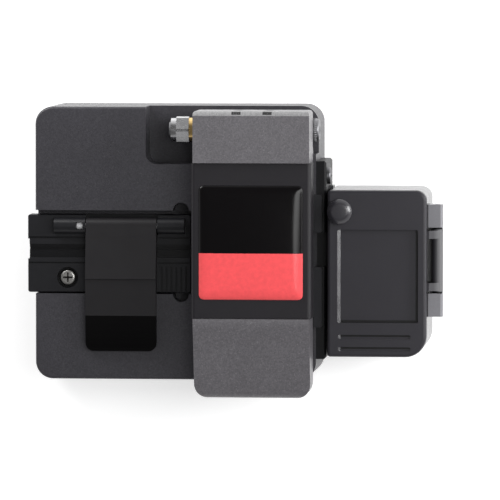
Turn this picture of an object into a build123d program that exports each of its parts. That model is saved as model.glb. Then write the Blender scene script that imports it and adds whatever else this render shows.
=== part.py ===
from build123d import *
import math
import os

# Fibre cleaver, in millimetres.
# X runs from the fibre fixture on the left to the scrap collector on the right,
# Y from the cover's thumb rest at the front to its hinge at the back, Z up from the bench.
# The numbers below are measured from the middle of the base, and save_all() moves the whole
# part so that the middle of its footprint is at the origin.

# Fits and clearances
RUN = 0.05          # radial play of a turning or sliding fit
SET = 0.02          # radial play of a fixed fit
GAP = 0.3           # air between faces that pass each other

# The fibre's path
FIBRE_Y = -1.8
FIBRE_Z = 30.0
FIBRE_ROOM = 4.5    # half width of the notches that let the fibre through

# Base casting
BASE_X0 = -37.3
BASE_X1 = 36.7
BASE_Y0 = -36.2
BASE_Y1 = 35.55
BASE_R = 4.6
RIM_TOP = FIBRE_Z + 1.0     # the lower top face under the cover
RIM_STEP = 1.0              # height of the fixture's side above that face
BASE_TOP = RIM_TOP + RIM_STEP
WALL = 2.6
FOOT_H = 1.5
PLATE_T = 1.6
DECK_T = 3.0
DECK_Z1 = FIBRE_Z - 6.0
DECK_Z0 = DECK_Z1 - DECK_T
STEP_X = 5.1        # where the high deck ends and the cover begins
POCKET_X0 = STEP_X + 3.0
POCKET_X1 = 34.3
POCKET_Y0 = -28.0
POCKET_Y1 = 23.2
NUT_BAY_X0 = -8.1
NUT_BAY_Y0 = 20.4
NUT_BAY_R = 3.0

# Cover hinge
HINGE_Y = 29.4
HINGE_Z = RIM_TOP - 4.0
HINGE_CUT_Z = HINGE_Z - 5.5
AXLE_R = 2.0
BLOCK_R = 4.7
BUSH_R = 3.0
BUSH_L = 5.0
BUSH_FLANGE_R = 3.9
BUSH_FLANGE_T = 0.8

# Cover
COVER_X0 = STEP_X + 0.45
COVER_X1 = BASE_X1 - 0.7
COVER_Y0 = -40.3
COVER_Y1 = 34.9
COVER_Z0 = RIM_TOP + 0.5
COVER_WALL = 2.0
COVER_ROOM = 8.5    # from the cover's rim to the underside of its roof
COVER_ROOF_T = 5.0
COVER_ROOF_Z = COVER_Z0 + COVER_ROOM
COVER_TOP = COVER_ROOF_Z + COVER_ROOF_T
COVER_NOSE_Z = COVER_TOP - 4.8
CAVITY_Y0 = -24.0
CHEEK_R = 4.6
CHEEK_INSET = 0.7   # how far the right cheek stands in from the side
SADDLE_X0 = COVER_X0 - 0.5
SADDLE_X1 = COVER_X1 + 0.5
SADDLE_Y0 = -19.15
SADDLE_Y1 = 21.2
SADDLE_TOP = COVER_TOP - 0.8
SADDLE_T = 1.1
SADDLE_SKIRT = 7.7
LABEL_X0 = SADDLE_X0 + 2.05
LABEL_X1 = SADDLE_X1 - 2.2
LABEL_Y0 = -14.3
LABEL_Y1 = 15.5
LABEL_R = 1.3
LABEL_T = 1.3
LEFT_CHEEK_X1 = COVER_X0 + COVER_WALL
RIGHT_CHEEK_X1 = COVER_X1 - CHEEK_INSET
RIGHT_CHEEK_X0 = RIGHT_CHEEK_X1 - COVER_WALL
BLOCK_X0 = LEFT_CHEEK_X1 + GAP + BUSH_FLANGE_T
BLOCK_X1 = RIGHT_CHEEK_X0 - GAP - BUSH_FLANGE_T

# Clamps and anvil
CLAMP_Y0 = -7.3
CLAMP_Y1 = 3.7
CLAMP_SIDE = 0.4    # from the pocket's wall to the left clamp
CLAMP_LEFT = 4.8    # widths of the two clamps
CLAMP_RIGHT = 5.6
CLAMP_GAP = 2.7     # room between them for the blade and the anvil
CLAMP_LX0 = POCKET_X0 + CLAMP_SIDE
CLAMP_LX1 = CLAMP_LX0 + CLAMP_LEFT
CLAMP_RX0 = CLAMP_LX1 + CLAMP_GAP
CLAMP_RX1 = CLAMP_RX0 + CLAMP_RIGHT
LOWER_END = 1.5     # how far the lower blocks run past the upper ones
LOWER_FOOT = 1.3    # how far the right lower block runs past its upper one
PAD_T = 0.9
PAD_TOP = FIBRE_Z - 0.15
PAD_OPEN = 0.3      # space between the closed pads
CARRIER_Z0 = FIBRE_Z + 4.0
CARRIER_T = 2.0
CARRIER_Z1 = CARRIER_Z0 + CARRIER_T
FLOAT_TRAVEL = 0.5
POST_R = 1.5
ANVIL_X = CLAMP_LX1 + CLAMP_GAP / 2
ANVIL_W = 1.4
ANVIL_L = 4.0
ANVIL_Z = FIBRE_Z + 0.5
ANVIL_TRAVEL = 0.6

# Blade carriage
BLADE_X = ANVIL_X
RAIL_X = BLADE_X + 1.25
RAIL_W = 7.0
RAIL_H = 5.0
RAIL_Y = 30.0       # half length
HOLDER_W = 16.0
TRUCK_W = HOLDER_W + 1.0
TRUCK_H = 8.0       # rail's foot to truck's top
TRUCK_L = 19.5
TRUCK_CAP = 2.0
TRUCK_REST_Y = -16.0
TRUCK_TRAVEL = 26.0
BLADE_R = 8.0
BLADE_T = 1.0
BLADE_Z = FIBRE_Z - BLADE_R - 0.2
BLADE_BORE = 1.6
INDEX_MARKS = 16
INDEX_R = 5.2
HOLDER_T = 2.0
HOLDER_L = 19.0
WEB_T = 3.0
WEB_L = 14.0
WEB_SHOULDER_Z = 17.0
SLOT_SIDE = 2.65    # room on the left of the blade in the deck's slot
SLOT_Y0 = -26.0
SLOT_Y1 = 20.0
PUSH_X0 = 9.0
PUSH_X1 = 27.5
PUSH_Z0 = 9.2
PUSH_Z1 = 18.5
PUSH_Y0 = -40.0
PUSH_T = 3.4

# Fibre fixture
FIX_X0 = -39.4
FIX_X1 = 3.7
FIX_Y0 = -13.4
FIX_Y1 = 7.1
FIX_Z0 = FIBRE_Z - 4.0
FIX_TOP = FIBRE_Z + 0.9
CHANNEL_Y0 = FIX_Y0 - GAP
CHANNEL_Y1 = 8.3
LOBE_R = 2.1
LOBE_X = 1.2
FLAP_X0 = -23.8
FLAP_X1 = -5.2
FLAP_HINGE_Y = 4.2
FLAP_HINGE_Z = FIX_TOP + 0.4
KNUCKLE_R = 2.1
CROWN_L = 2.7       # flat behind the flap's sloping top
FLAP_PIN_R = 0.75
FLAP_FACET_Y = -9.6
FLAP_TAB_Y = -19.3
FLAP_Y0 = -28.7
FLAP_RISE = 4.4     # from the fixture's top to the flap's
FLAP_TOP = FIX_TOP + FLAP_RISE

# Collector bracket and rail strip
BRACKET_X0 = BASE_X1
BRACKET_T = 2.7
BRACKET_X1 = BRACKET_X0 + BRACKET_T
BRACKET_Y0 = -30.6
BRACKET_Y1 = 21.4
BRACKET_Z0 = 9.0
BRACKET_Z1 = RIM_TOP
TRACK_Z0 = 12.0
TRACK_Z1 = 22.0
TRACK_DEPTH = 1.9
TRACK_LIP = 1.6     # how far the track is undercut at each side
TRACK_END_Y = 14.6

# Scrap collector
BIN_GAP = 0.5
BIN_X0 = BRACKET_X1 + BIN_GAP
BIN_X1 = 65.9
BIN_Y0 = -29.8
BIN_Y1 = 13.9
BIN_Z0 = 6.0
BIN_TOP = FIBRE_Z + 1.0
BIN_WALL = 1.8
BIN_R_BACK = 2.8
BIN_R_FRONT = 5.6
LID_GAP = 0.2
LID_H = 3.0
LID_T = 1.6
LID_ROUND = 0.8
LID_TOP = BIN_TOP + LID_GAP + LID_H
PANEL_X0 = 42.5
PANEL_X1 = 63.7
PANEL_Y0 = -20.8
PANEL_Y1 = 3.6
PANEL_DEPTH = 1.2
PANEL_R = 0.5
PANEL_RIB = 0.9     # how far the panel's backing runs past it
GRIP_X0 = 42.7
GRIP_X1 = 61.8
GRIP_Y = (-24.5, -27.7)
GRIP_W = 1.1
GRIP_DEPTH = 0.5
LID_HINGE_X = BIN_X1 + 2.6
LID_HINGE_Z = BIN_TOP - 1.6
LID_HINGE_R = 1.5
LID_PIN_R = 0.7
LUG_X1 = LID_HINGE_X + LID_HINGE_R
LUGS = ((4.1, 10.15), (-19.3, -13.2))
BARREL_Y = (-12.7, 3.6)
ARMS = ((1.2, 3.3), (-12.5, -10.4))
ROLLER_X = 43.4
ROLLER_R = 1.1
ROLLER_Y = (-9.2, 4.2)
ROLLER_SHAFT_R = 0.5
ROLLER_NIP = 0.1
BUTTON_X = 43.3
BUTTON_Y = 8.4
BUTTON_R = 3.3
BUTTON_TOP_R = 2.65
BUTTON_TOP = LID_TOP + 3.8
BUTTON_TRAVEL = 1.5

SHIFT_X = -(FIX_X0 + LUG_X1) / 2
SHIFT_Y = -(COVER_Y0 + BASE_Y1) / 2


# Shape helpers

def block(x0, x1, y0, y1, z0, z1, r=0.0):
    """Upright block between bounds, with rounded upright corners when r is set."""
    width = x1 - x0
    depth = y1 - y0
    plan = RectangleRounded(width, depth, r) if r > 0 else Rectangle(width, depth)
    return Pos((x0 + x1) / 2, (y0 + y1) / 2, z0) * extrude(plan, z1 - z0)


def post(x, y, z0, z1, r):
    """Round post or hole standing upright."""
    return Pos(x, y, z0) * Cylinder(r, z1 - z0, align=(Align.CENTER, Align.CENTER, Align.MIN))


def bar_x(x0, x1, y, z, r):
    """Round bar or bore along X."""
    bar = Cylinder(r, x1 - x0, align=(Align.CENTER, Align.CENTER, Align.MIN))
    return Pos(x0, y, z) * Rot(0, 90, 0) * bar


def bar_y(y0, y1, x, z, r):
    """Round bar or bore along Y."""
    bar = Cylinder(r, y1 - y0, align=(Align.CENTER, Align.CENTER, Align.MIN))
    return Pos(x, y0, z) * Rot(-90, 0, 0) * bar


def side_prism(points, x0, x1):
    """Outline of (Y, Z) points pushed along X."""
    face = Plane.YZ.offset(x0) * Polygon(*points, align=None)
    return extrude(face, x1 - x0, dir=(1, 0, 0))


def front_prism(points, y0, y1):
    """Outline of (X, Z) points pushed along Y."""
    face = Plane.XZ.offset(-y1) * Polygon(*points, align=None)
    return extrude(face, y1 - y0, dir=(0, -1, 0))


def rounded_plan(x0, x1, y0, y1, z0, z1, r_back_left, r_back_right, r_front_left, r_front_right):
    """Upright prism whose four corners each have their own radius."""
    plan = Pos((x0 + x1) / 2, (y0 + y1) / 2) * Rectangle(x1 - x0, y1 - y0)
    radii = ((x0, y1, r_back_left), (x1, y1, r_back_right),
             (x0, y0, r_front_left), (x1, y0, r_front_right))
    for x, y, r in radii:
        if r > 0:
            corner = plan.vertices().sort_by_distance((x, y, 0))[0]
            plan = fillet(corner, r)
    return Pos(0, 0, z0) * extrude(plan, z1 - z0)


def hexagon(across, height):
    """Upright hexagonal prism, across its flats, standing on the origin."""
    return extrude(RegularPolygon(across / 2, 6, major_radius=False), height)


def pan_screw(head_r, head_h, shank_r, length):
    """Pan-head cross-recess screw, its head standing on the origin and its shank below."""
    head = post(0, 0, 0, head_h, head_r)
    head = fillet(head.edges().group_by(Axis.Z)[-1], head_h * 0.45)
    shank = post(0, 0, -length, 0, shank_r)
    arm = head_r * 0.6
    slot_a = block(-arm, arm, -0.22, 0.22, head_h * 0.5, head_h + 1)
    slot_b = block(-0.22, 0.22, -arm, arm, head_h * 0.5, head_h + 1)
    return head + shank - slot_a - slot_b


def flat_screw(head_r, head_h, shank_r, length):
    """Countersunk cross-recess screw, its head's top at the origin and its shank below."""
    cone = Pos(0, 0, -head_h) * Cone(shank_r, head_r, head_h,
                                     align=(Align.CENTER, Align.CENTER, Align.MIN))
    shank = post(0, 0, -length, -head_h, shank_r)
    arm = head_r * 0.6
    slot_a = block(-arm, arm, -0.22, 0.22, -head_h * 0.6, 1)
    slot_b = block(-0.22, 0.22, -arm, arm, -head_h * 0.6, 1)
    return cone + shank - slot_a - slot_b


def coil(x, y, z0, z1, mean_r, wire_r, turns):
    """Compression spring standing upright between two seats."""
    pitch = (z1 - z0 - 2 * wire_r) / turns
    path = Helix(pitch, pitch * turns, mean_r)
    section = Plane(origin=path @ 0, z_dir=path % 0) * Circle(wire_r)
    return Pos(x, y, z0 + wire_r) * sweep(section, path=path)


# Base

CORNER_IN = 5.5
CORNERS = tuple((x, y) for x in (BASE_X0 + CORNER_IN, BASE_X1 - CORNER_IN)
                for y in (BASE_Y0 + CORNER_IN, BASE_Y1 - CORNER_IN))
BOSS_R = 2.7
PLATE_TOP = FOOT_H + PLATE_T
BASE_SCREW_R = 1.25
BASE_SCREW_L = 7.0
BASE_HEAD_R = 2.4
BASE_HEAD_H = 1.2
FOOT_R = 5.0
FOOT_SINK = 0.4
FOOT_IN = 13.0
FEET = tuple((x, y) for x in (BASE_X0 + FOOT_IN, BASE_X1 - FOOT_IN)
             for y in (BASE_Y0 + FOOT_IN, BASE_Y1 - FOOT_IN))
SLOT_X0 = BLADE_X - BLADE_T / 2 - SLOT_SIDE
SLOT_X1 = BLADE_X + 5.45
LOWER_FOOT_X = CLAMP_RX1 + LOWER_FOOT
BRACKET_BORE = 1.25
KEEPER = (27.5, -31.8)
KEEPER_R = 2.5
KEEPER_T = 1.6
BUMPERS = ((11.5, -31.8), (33.0, -31.8))
BUMPER_R = 1.4
BUMPER_SINK = 0.7
BUMPER_TOP = COVER_Z0 - 0.05
FIX_SCREWS = ((-28.9, -9.5), (-8.0, -9.5))
FIX_SCREW_R = 2.12
FIX_SHANK_R = 1.25
CLAMP_SCREW_R = 0.9
CLAMP_HEAD_R = 1.3
CLAMP_HEAD_H = 1.0
CLAMP_SCREWS = tuple((x, y) for x in (CLAMP_LX0 + 1.4, CLAMP_RX1)
                     for y in (CLAMP_Y0 - 0.1, CLAMP_Y1 + 0.1))


def base_casting():
    """Hollow base with the fixture channel, the pocket under the cover and the hinge block."""
    body = block(BASE_X0, BASE_X1, BASE_Y0, BASE_Y1, FOOT_H, BASE_TOP, BASE_R)
    body = fillet(body.edges().group_by(Axis.Z)[-1], 0.7)
    x0, x1 = BASE_X0 + WALL, BASE_X1 - WALL
    y0, y1 = BASE_Y0 + WALL, BASE_Y1 - WALL
    body -= block(x0, x1, y0, y1, FOOT_H - 1, DECK_Z0, BASE_R - WALL)
    roof = BASE_TOP - WALL
    body -= block(x0, STEP_X - WALL, y0, CHANNEL_Y0 - WALL, DECK_Z0 - 1, roof, 1.5)
    body -= block(x0, NUT_BAY_X0 - WALL, CHANNEL_Y1 + WALL, y1, DECK_Z0 - 1, roof, 1.5)
    for x, y in CORNERS:
        body += post(x, y, PLATE_TOP, DECK_Z0 + 0.5, BOSS_R)
    body -= cover_seat()
    body -= fixture_channel()
    body -= hinge_bay()
    body += hinge_block()
    body -= thumb_opening()
    body -= base_holes()
    return body


def cover_seat():
    """Room under the cover: the lowered rim, the pocket, the carriage slot and the fibre notches."""
    cut = block(STEP_X, BASE_X1 + 5, BASE_Y0 - 1, BASE_Y1 + 1, RIM_TOP, BASE_TOP + 5)
    cut += block(POCKET_X0, POCKET_X1, POCKET_Y0, POCKET_Y1, DECK_Z1, BASE_TOP + 5, 2.0)
    cut += block(SLOT_X0, SLOT_X1, SLOT_Y0, SLOT_Y1, DECK_Z0 - 1, DECK_Z1 + 1, 1.5)
    notch = (FIBRE_Y - FIBRE_ROOM, FIBRE_Y + FIBRE_ROOM, FIBRE_Z - 2, BASE_TOP + 5)
    cut += block(FIX_X1 - 1, POCKET_X0 + 1, *notch)
    cut += block(POCKET_X1 - 1, BASE_X1 + 1, *notch)
    return cut


def fixture_channel():
    """Channel for the fibre fixture, open at the left, with round reliefs in its blind corners."""
    cut = block(BASE_X0 - 1, FIX_X1 + 0.2, CHANNEL_Y0, CHANNEL_Y1, FIX_Z0, BASE_TOP + 5)
    for y in (CHANNEL_Y0, CHANNEL_Y1):
        cut += post(LOBE_X, y, FIX_Z0, BASE_TOP + 5, LOBE_R)
    return cut


def hinge_bay():
    """Open back of the base where the cover's cheeks and the axle nut turn."""
    cut = block(STEP_X - 1, BASE_X1 + 5, POCKET_Y1, BASE_Y1 + 5, HINGE_CUT_Z, BASE_TOP + 5)
    cut += block(NUT_BAY_X0, STEP_X + 4, NUT_BAY_Y0, BASE_Y1 + 5, HINGE_CUT_Z, BASE_TOP + 5,
                 NUT_BAY_R)
    return cut


def hinge_block():
    """Block that holds the axle's bushes, round about the axle."""
    block_y0 = HINGE_Y - BLOCK_R
    block_y1 = HINGE_Y + BLOCK_R
    solid = block(BLOCK_X0, BLOCK_X1, block_y0, block_y1, HINGE_CUT_Z - 0.5, HINGE_Z)
    solid += bar_x(BLOCK_X0, BLOCK_X1, HINGE_Y, HINGE_Z, BLOCK_R)
    solid -= bar_x(BLOCK_X0 - 1, BLOCK_X1 + 1, HINGE_Y, HINGE_Z, AXLE_R + 0.3)
    for x0 in (BLOCK_X0, BLOCK_X1 - BUSH_L):
        solid -= bar_x(x0, x0 + BUSH_L, HINGE_Y, HINGE_Z, BUSH_R + SET)
    return solid


def thumb_opening():
    """Opening in the front wall for the carriage's push pad."""
    width = PUSH_X1 - PUSH_X0 + 2 * 1.6
    height = PUSH_Z1 - PUSH_Z0 + 2 * 0.9
    face = Plane.XZ.offset(-BASE_Y0 - WALL - 1) * RectangleRounded(width, height, 2.0)
    hole = extrude(face, WALL + 2, dir=(0, -1, 0))
    return Pos((PUSH_X0 + PUSH_X1) / 2, 0, (PUSH_Z0 + PUSH_Z1) / 2) * hole


def base_holes():
    """Screw holes and the seats of the keeper, the bumpers and the bracket's screws."""
    cut = post(*KEEPER, RIM_TOP - KEEPER_T, RIM_TOP + 1, KEEPER_R + SET)
    for x, y in BUMPERS:
        cut += post(x, y, RIM_TOP - BUMPER_SINK, RIM_TOP + 1, BUMPER_R + SET)
    for x, y in CORNERS:
        cut += post(x, y, PLATE_TOP - 1, FOOT_H + BASE_SCREW_L + 0.8, BASE_SCREW_R + SET)
    for x, y in FIX_SCREWS:
        cut += post(x, y, FIX_Z0 - 3, FIX_Z0 + 1, FIX_SHANK_R + SET)
    for x, y in CLAMP_SCREWS:
        cut += post(x, y, DECK_Z0 + 0.4, DECK_Z1 + 1, CLAMP_SCREW_R + SET)
    for y, z in BRACKET_SCREWS:
        cut += bar_x(BASE_X1 - WALL - 1, BASE_X1 + 1, y, z, BRACKET_BORE + SET)
    return cut


def bottom_plate():
    """Plate screwed into the base from below, with seats for the feet."""
    edge = WALL + 0.1
    plate = block(BASE_X0 + edge, BASE_X1 - edge, BASE_Y0 + edge, BASE_Y1 - edge,
                  FOOT_H, PLATE_TOP, BASE_R - WALL)
    for x, y in FEET:
        plate -= post(x, y, FOOT_H - 1, FOOT_H + FOOT_SINK, FOOT_R + SET)
    for x, y in CORNERS:
        plate -= post(x, y, FOOT_H - 1, PLATE_TOP + 1, BASE_SCREW_R + 0.1)
        plate -= Pos(x, y, FOOT_H) * Cone(BASE_HEAD_R + SET, BASE_SCREW_R + 0.1, BASE_HEAD_H,
                                          align=(Align.CENTER, Align.CENTER, Align.MIN))
    for y in RAIL_SCREW_Y:
        plate -= post(RAIL_X, y, FOOT_H + 0.3, PLATE_TOP + 1, RAIL_SCREW_R + SET)
    return plate


def bottom_screws():
    """Countersunk screws of the bottom plate."""
    screw = Rot(180, 0, 0) * flat_screw(BASE_HEAD_R, BASE_HEAD_H, BASE_SCREW_R, BASE_SCREW_L)
    return [Pos(x, y, FOOT_H) * screw for x, y in CORNERS]


def rubber_feet():
    """Round feet let into the bottom plate."""
    feet = []
    for x, y in FEET:
        foot = post(x, y, 0, FOOT_H + FOOT_SINK, FOOT_R)
        feet.append(fillet(foot.edges().group_by(Axis.Z)[0], 0.4))
    return feet


def keeper():
    """Steel disc in the base's rim that the cover's magnet holds on to."""
    return post(*KEEPER, RIM_TOP - KEEPER_T, RIM_TOP, KEEPER_R)


def bumpers():
    """Rubber stops that the closed cover rests on."""
    stops = []
    for x, y in BUMPERS:
        stop = post(x, y, RIM_TOP - BUMPER_SINK, BUMPER_TOP, BUMPER_R)
        stops.append(fillet(stop.edges().group_by(Axis.Z)[-1], 0.2))
    return stops


# Blade carriage

RAIL_SCREW_Y = (-22.5, -7.5, 7.5, 22.5)
RAIL_SCREW_R = 1.0
RAIL_HEAD_R = 1.9
RAIL_HEAD_DEPTH = 2.3
RAIL_Z0 = PLATE_TOP
RAIL_TOP = RAIL_Z0 + RAIL_H
TRUCK_TOP = RAIL_Z0 + TRUCK_H
HOLDER_X0 = RAIL_X - HOLDER_W / 2
HOLDER_X1 = RAIL_X + HOLDER_W / 2
HOLDER_TOP = TRUCK_TOP + HOLDER_T
WEB_X0 = BLADE_X + BLADE_T / 2 + 0.2
WEB_X1 = WEB_X0 + WEB_T
WEB_TOP = BLADE_Z + 3.2
HOLDER_Y0 = TRUCK_REST_Y - HOLDER_L / 2
HOLDER_Y1 = TRUCK_REST_Y + HOLDER_L / 2
TONGUE_X0 = RAIL_X - 4.0
TONGUE_X1 = RAIL_X + 4.0
SMALL_SCREW_R = 1.0
SMALL_HEAD_R = 1.8
SMALL_HEAD_H = 1.1
SMALL_SCREW_L = 4.2
HOLDER_SCREW_IN_X = 2.0
HOLDER_SCREW_IN_Y = 4.5
HOLDER_SCREWS = tuple((x, y)
                      for x in (HOLDER_X0 + HOLDER_SCREW_IN_X, HOLDER_X1 - HOLDER_SCREW_IN_X)
                      for y in (HOLDER_Y0 + HOLDER_SCREW_IN_Y, HOLDER_Y1 - HOLDER_SCREW_IN_Y))
PUSH_SCREW = (RAIL_X, PUSH_Y0 + PUSH_T + 4.7)
PUSH_RIB = 2.4
BLADE_SHANK_R = 1.25
BLADE_HEAD_R = 2.6
BLADE_HEAD_H = 1.6


def slide_rail():
    """Steel rail with a ball groove along each side."""
    half = RAIL_W / 2
    waist = half - 0.55
    z = RAIL_Z0
    right = [(half, z), (half, z + 1.9), (waist, z + 2.5), (waist, z + 3.3), (half, z + 3.9),
             (half, z + RAIL_H - 0.3), (half - 0.3, z + RAIL_H)]
    left = [(-x, zz) for x, zz in reversed(right)]
    points = [(RAIL_X + x, zz) for x, zz in right + left]
    rail = front_prism(points, -RAIL_Y, RAIL_Y)
    for y in RAIL_SCREW_Y:
        rail -= post(RAIL_X, y, RAIL_Z0 - 1, RAIL_TOP + 1, RAIL_SCREW_R + SET)
        rail -= post(RAIL_X, y, RAIL_TOP - RAIL_HEAD_DEPTH, RAIL_TOP + 1, RAIL_HEAD_R + 0.2)
    return rail


def rail_screws():
    """Socket-head screws sunk in the rail."""
    screws = []
    for y in RAIL_SCREW_Y:
        screw = post(RAIL_X, y, RAIL_TOP - RAIL_HEAD_DEPTH, RAIL_TOP - 0.5, RAIL_HEAD_R)
        screw += post(RAIL_X, y, FOOT_H + 0.5, RAIL_TOP - RAIL_HEAD_DEPTH, RAIL_SCREW_R)
        screw -= Pos(RAIL_X, y, RAIL_TOP - 1.5) * hexagon(1.5, 2.0)
        screws.append(screw)
    return screws


def truck_section(y0, y1, shrink):
    """Saddle-shaped block round the rail, with its running clearance."""
    half = TRUCK_W / 2 - shrink
    z0 = RAIL_Z0 + 1.4
    top = TRUCK_TOP - shrink
    body = block(RAIL_X - half, RAIL_X + half, y0, y1, z0, top)
    clear = 0.12
    waist = RAIL_W / 2 - 0.55 + clear
    side = RAIL_W / 2 + clear
    z = RAIL_Z0
    right = [(side, z0 - 1), (side, z + 1.9), (waist, z + 2.5), (waist, z + 3.3),
             (side, z + 3.9), (side, RAIL_TOP + clear)]
    left = [(-x, zz) for x, zz in reversed(right)]
    groove = [(RAIL_X + x, zz) for x, zz in right + left]
    return body - front_prism(groove, y0 - 1, y1 + 1)


def carriage():
    """Steel truck that runs on the rail."""
    y0 = TRUCK_REST_Y - TRUCK_L / 2
    truck = truck_section(y0, y0 + TRUCK_L, 0.0)
    for x, y in HOLDER_SCREWS:
        truck -= post(x, y, HOLDER_TOP - SMALL_SCREW_L - 0.4, TRUCK_TOP + 1, SMALL_SCREW_R + SET)
    return truck


def carriage_caps():
    """Plastic end caps of the truck."""
    y0 = TRUCK_REST_Y - TRUCK_L / 2
    y1 = y0 + TRUCK_L
    return [truck_section(y0 - TRUCK_CAP, y0, 0.25), truck_section(y1, y1 + TRUCK_CAP, 0.25)]


def blade_holder():
    """Bracket on the truck: a flange with the push pad's tongue, and the web beside the blade."""
    tongue_y0 = PUSH_Y0 + PUSH_T
    body = block(HOLDER_X0, HOLDER_X1, HOLDER_Y0, HOLDER_Y1, TRUCK_TOP, HOLDER_TOP, 1.0)
    body += block(TONGUE_X0, TONGUE_X1, tongue_y0, HOLDER_Y0 + 0.5, TRUCK_TOP, HOLDER_TOP)
    mid = TRUCK_REST_Y
    half = WEB_L / 2
    neck = half - 3.0
    web = [(mid - half, TRUCK_TOP + 0.5), (mid + half, TRUCK_TOP + 0.5),
           (mid + half, WEB_SHOULDER_Z), (mid + neck, WEB_TOP), (mid - neck, WEB_TOP),
           (mid - half, WEB_SHOULDER_Z)]
    body += side_prism(web, WEB_X0, WEB_X1)
    body -= bar_x(WEB_X0 - 1, WEB_X1 + 1, mid, BLADE_Z, BLADE_SHANK_R + SET)
    for x, y in HOLDER_SCREWS + (PUSH_SCREW,):
        body -= post(x, y, TRUCK_TOP - 1, HOLDER_TOP + 1, SMALL_SCREW_R + SET)
    return body


def holder_screws():
    """Pan-head screws through the holder's flange."""
    screw = pan_screw(SMALL_HEAD_R, SMALL_HEAD_H, SMALL_SCREW_R, SMALL_SCREW_L)
    return [Pos(x, y, HOLDER_TOP) * screw for x, y in HOLDER_SCREWS]


def blade_wheel():
    """Round blade with a bevelled edge, a bore and a ring of index marks."""
    centre_y = TRUCK_REST_Y
    x0 = BLADE_X - BLADE_T / 2
    wheel = bar_x(x0, x0 + BLADE_T, centre_y, BLADE_Z, BLADE_R)
    wheel = chamfer(wheel.edges().filter_by(GeomType.CIRCLE), 0.35, 0.9)
    wheel -= bar_x(x0 - 1, x0 + 2, centre_y, BLADE_Z, BLADE_BORE)
    for i in range(INDEX_MARKS):
        angle = 2 * math.pi * i / INDEX_MARKS
        y = centre_y + INDEX_R * math.cos(angle)
        z = BLADE_Z + INDEX_R * math.sin(angle)
        wheel -= bar_x(x0 - 1, x0 + 0.2, y, z, 0.35)
    return wheel


def blade_screw():
    """Shoulder screw that the blade turns on."""
    x_face = BLADE_X - BLADE_T / 2
    shoulder = bar_x(x_face - 0.1, WEB_X0, TRUCK_REST_Y, BLADE_Z, BLADE_BORE - RUN)
    head = bar_x(x_face - 0.1 - BLADE_HEAD_H, x_face - 0.1, TRUCK_REST_Y, BLADE_Z, BLADE_HEAD_R)
    shank = bar_x(WEB_X0, WEB_X1, TRUCK_REST_Y, BLADE_Z, BLADE_SHANK_R)
    screw = head + shoulder + shank
    slot = block(x_face - 1 - BLADE_HEAD_H, x_face + 0.5 - BLADE_HEAD_H,
                 TRUCK_REST_Y - 3, TRUCK_REST_Y + 3, BLADE_Z - 0.3, BLADE_Z + 0.3)
    return screw - slot


def push_pad():
    """Thumb pad of the carriage, ribbed on its face, with a rib over the holder's tongue."""
    y1 = PUSH_Y0 + PUSH_T
    pad = block(PUSH_X0, PUSH_X1, PUSH_Y0, y1, PUSH_Z0, PUSH_Z1)
    pad = fillet(pad.edges().filter_by(Axis.Y), 1.6)
    pad = fillet(pad.edges().group_by(Axis.Y)[0], 0.5)
    for i in range(4):
        z = PUSH_Z0 + 2.2 + 1.6 * i
        pad -= block(PUSH_X0 + 2, PUSH_X1 - 2, PUSH_Y0 - 1, PUSH_Y0 + 0.4, z, z + 0.6)
    rib_y1 = PUSH_SCREW[1] + 1.8
    pad += block(TONGUE_X0, TONGUE_X1, y1 - 0.5, rib_y1, HOLDER_TOP, HOLDER_TOP + PUSH_RIB)
    pad -= post(*PUSH_SCREW, HOLDER_TOP - 1, HOLDER_TOP + 5, SMALL_SCREW_R + SET)
    return pad


def push_screw():
    """Screw that holds the push pad to the holder's tongue."""
    screw = pan_screw(SMALL_HEAD_R, SMALL_HEAD_H, SMALL_SCREW_R, SMALL_SCREW_L)
    return Pos(*PUSH_SCREW, HOLDER_TOP + PUSH_RIB) * screw


# Clamps and anvil

LOWER_TOP = PAD_TOP - 0.5
PAD_Y0 = CLAMP_Y0 + 1.7
PAD_Y1 = CLAMP_Y1 - 1.7
UPPER_PAD_Z = PAD_TOP + PAD_OPEN
UPPER_FOOT_Z = UPPER_PAD_Z + 0.5
POST_OFF = 2.6      # from the fibre to the posts
POSTS = (((CLAMP_LX0 + CLAMP_LX1) / 2, FIBRE_Y + POST_OFF),
         ((CLAMP_RX0 + CLAMP_RX1) / 2, FIBRE_Y - POST_OFF))
SPRING_R = 2.1
POST_HEAD_Z = COVER_ROOF_Z + 1.0     # floor of the seats in the roof
POST_HEAD_R = 2.0
ANVIL_STEM_R = 1.2
ANVIL_COLLAR_Z = CARRIER_Z1 + 1.2
ANVIL_COLLAR_R = 2.0
ANVIL_NUT_R = 1.75
ANVIL_NUT_Z = POST_HEAD_Z + 0.03
ANVIL_STEM_TOP = ANVIL_NUT_Z + 0.8


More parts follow.
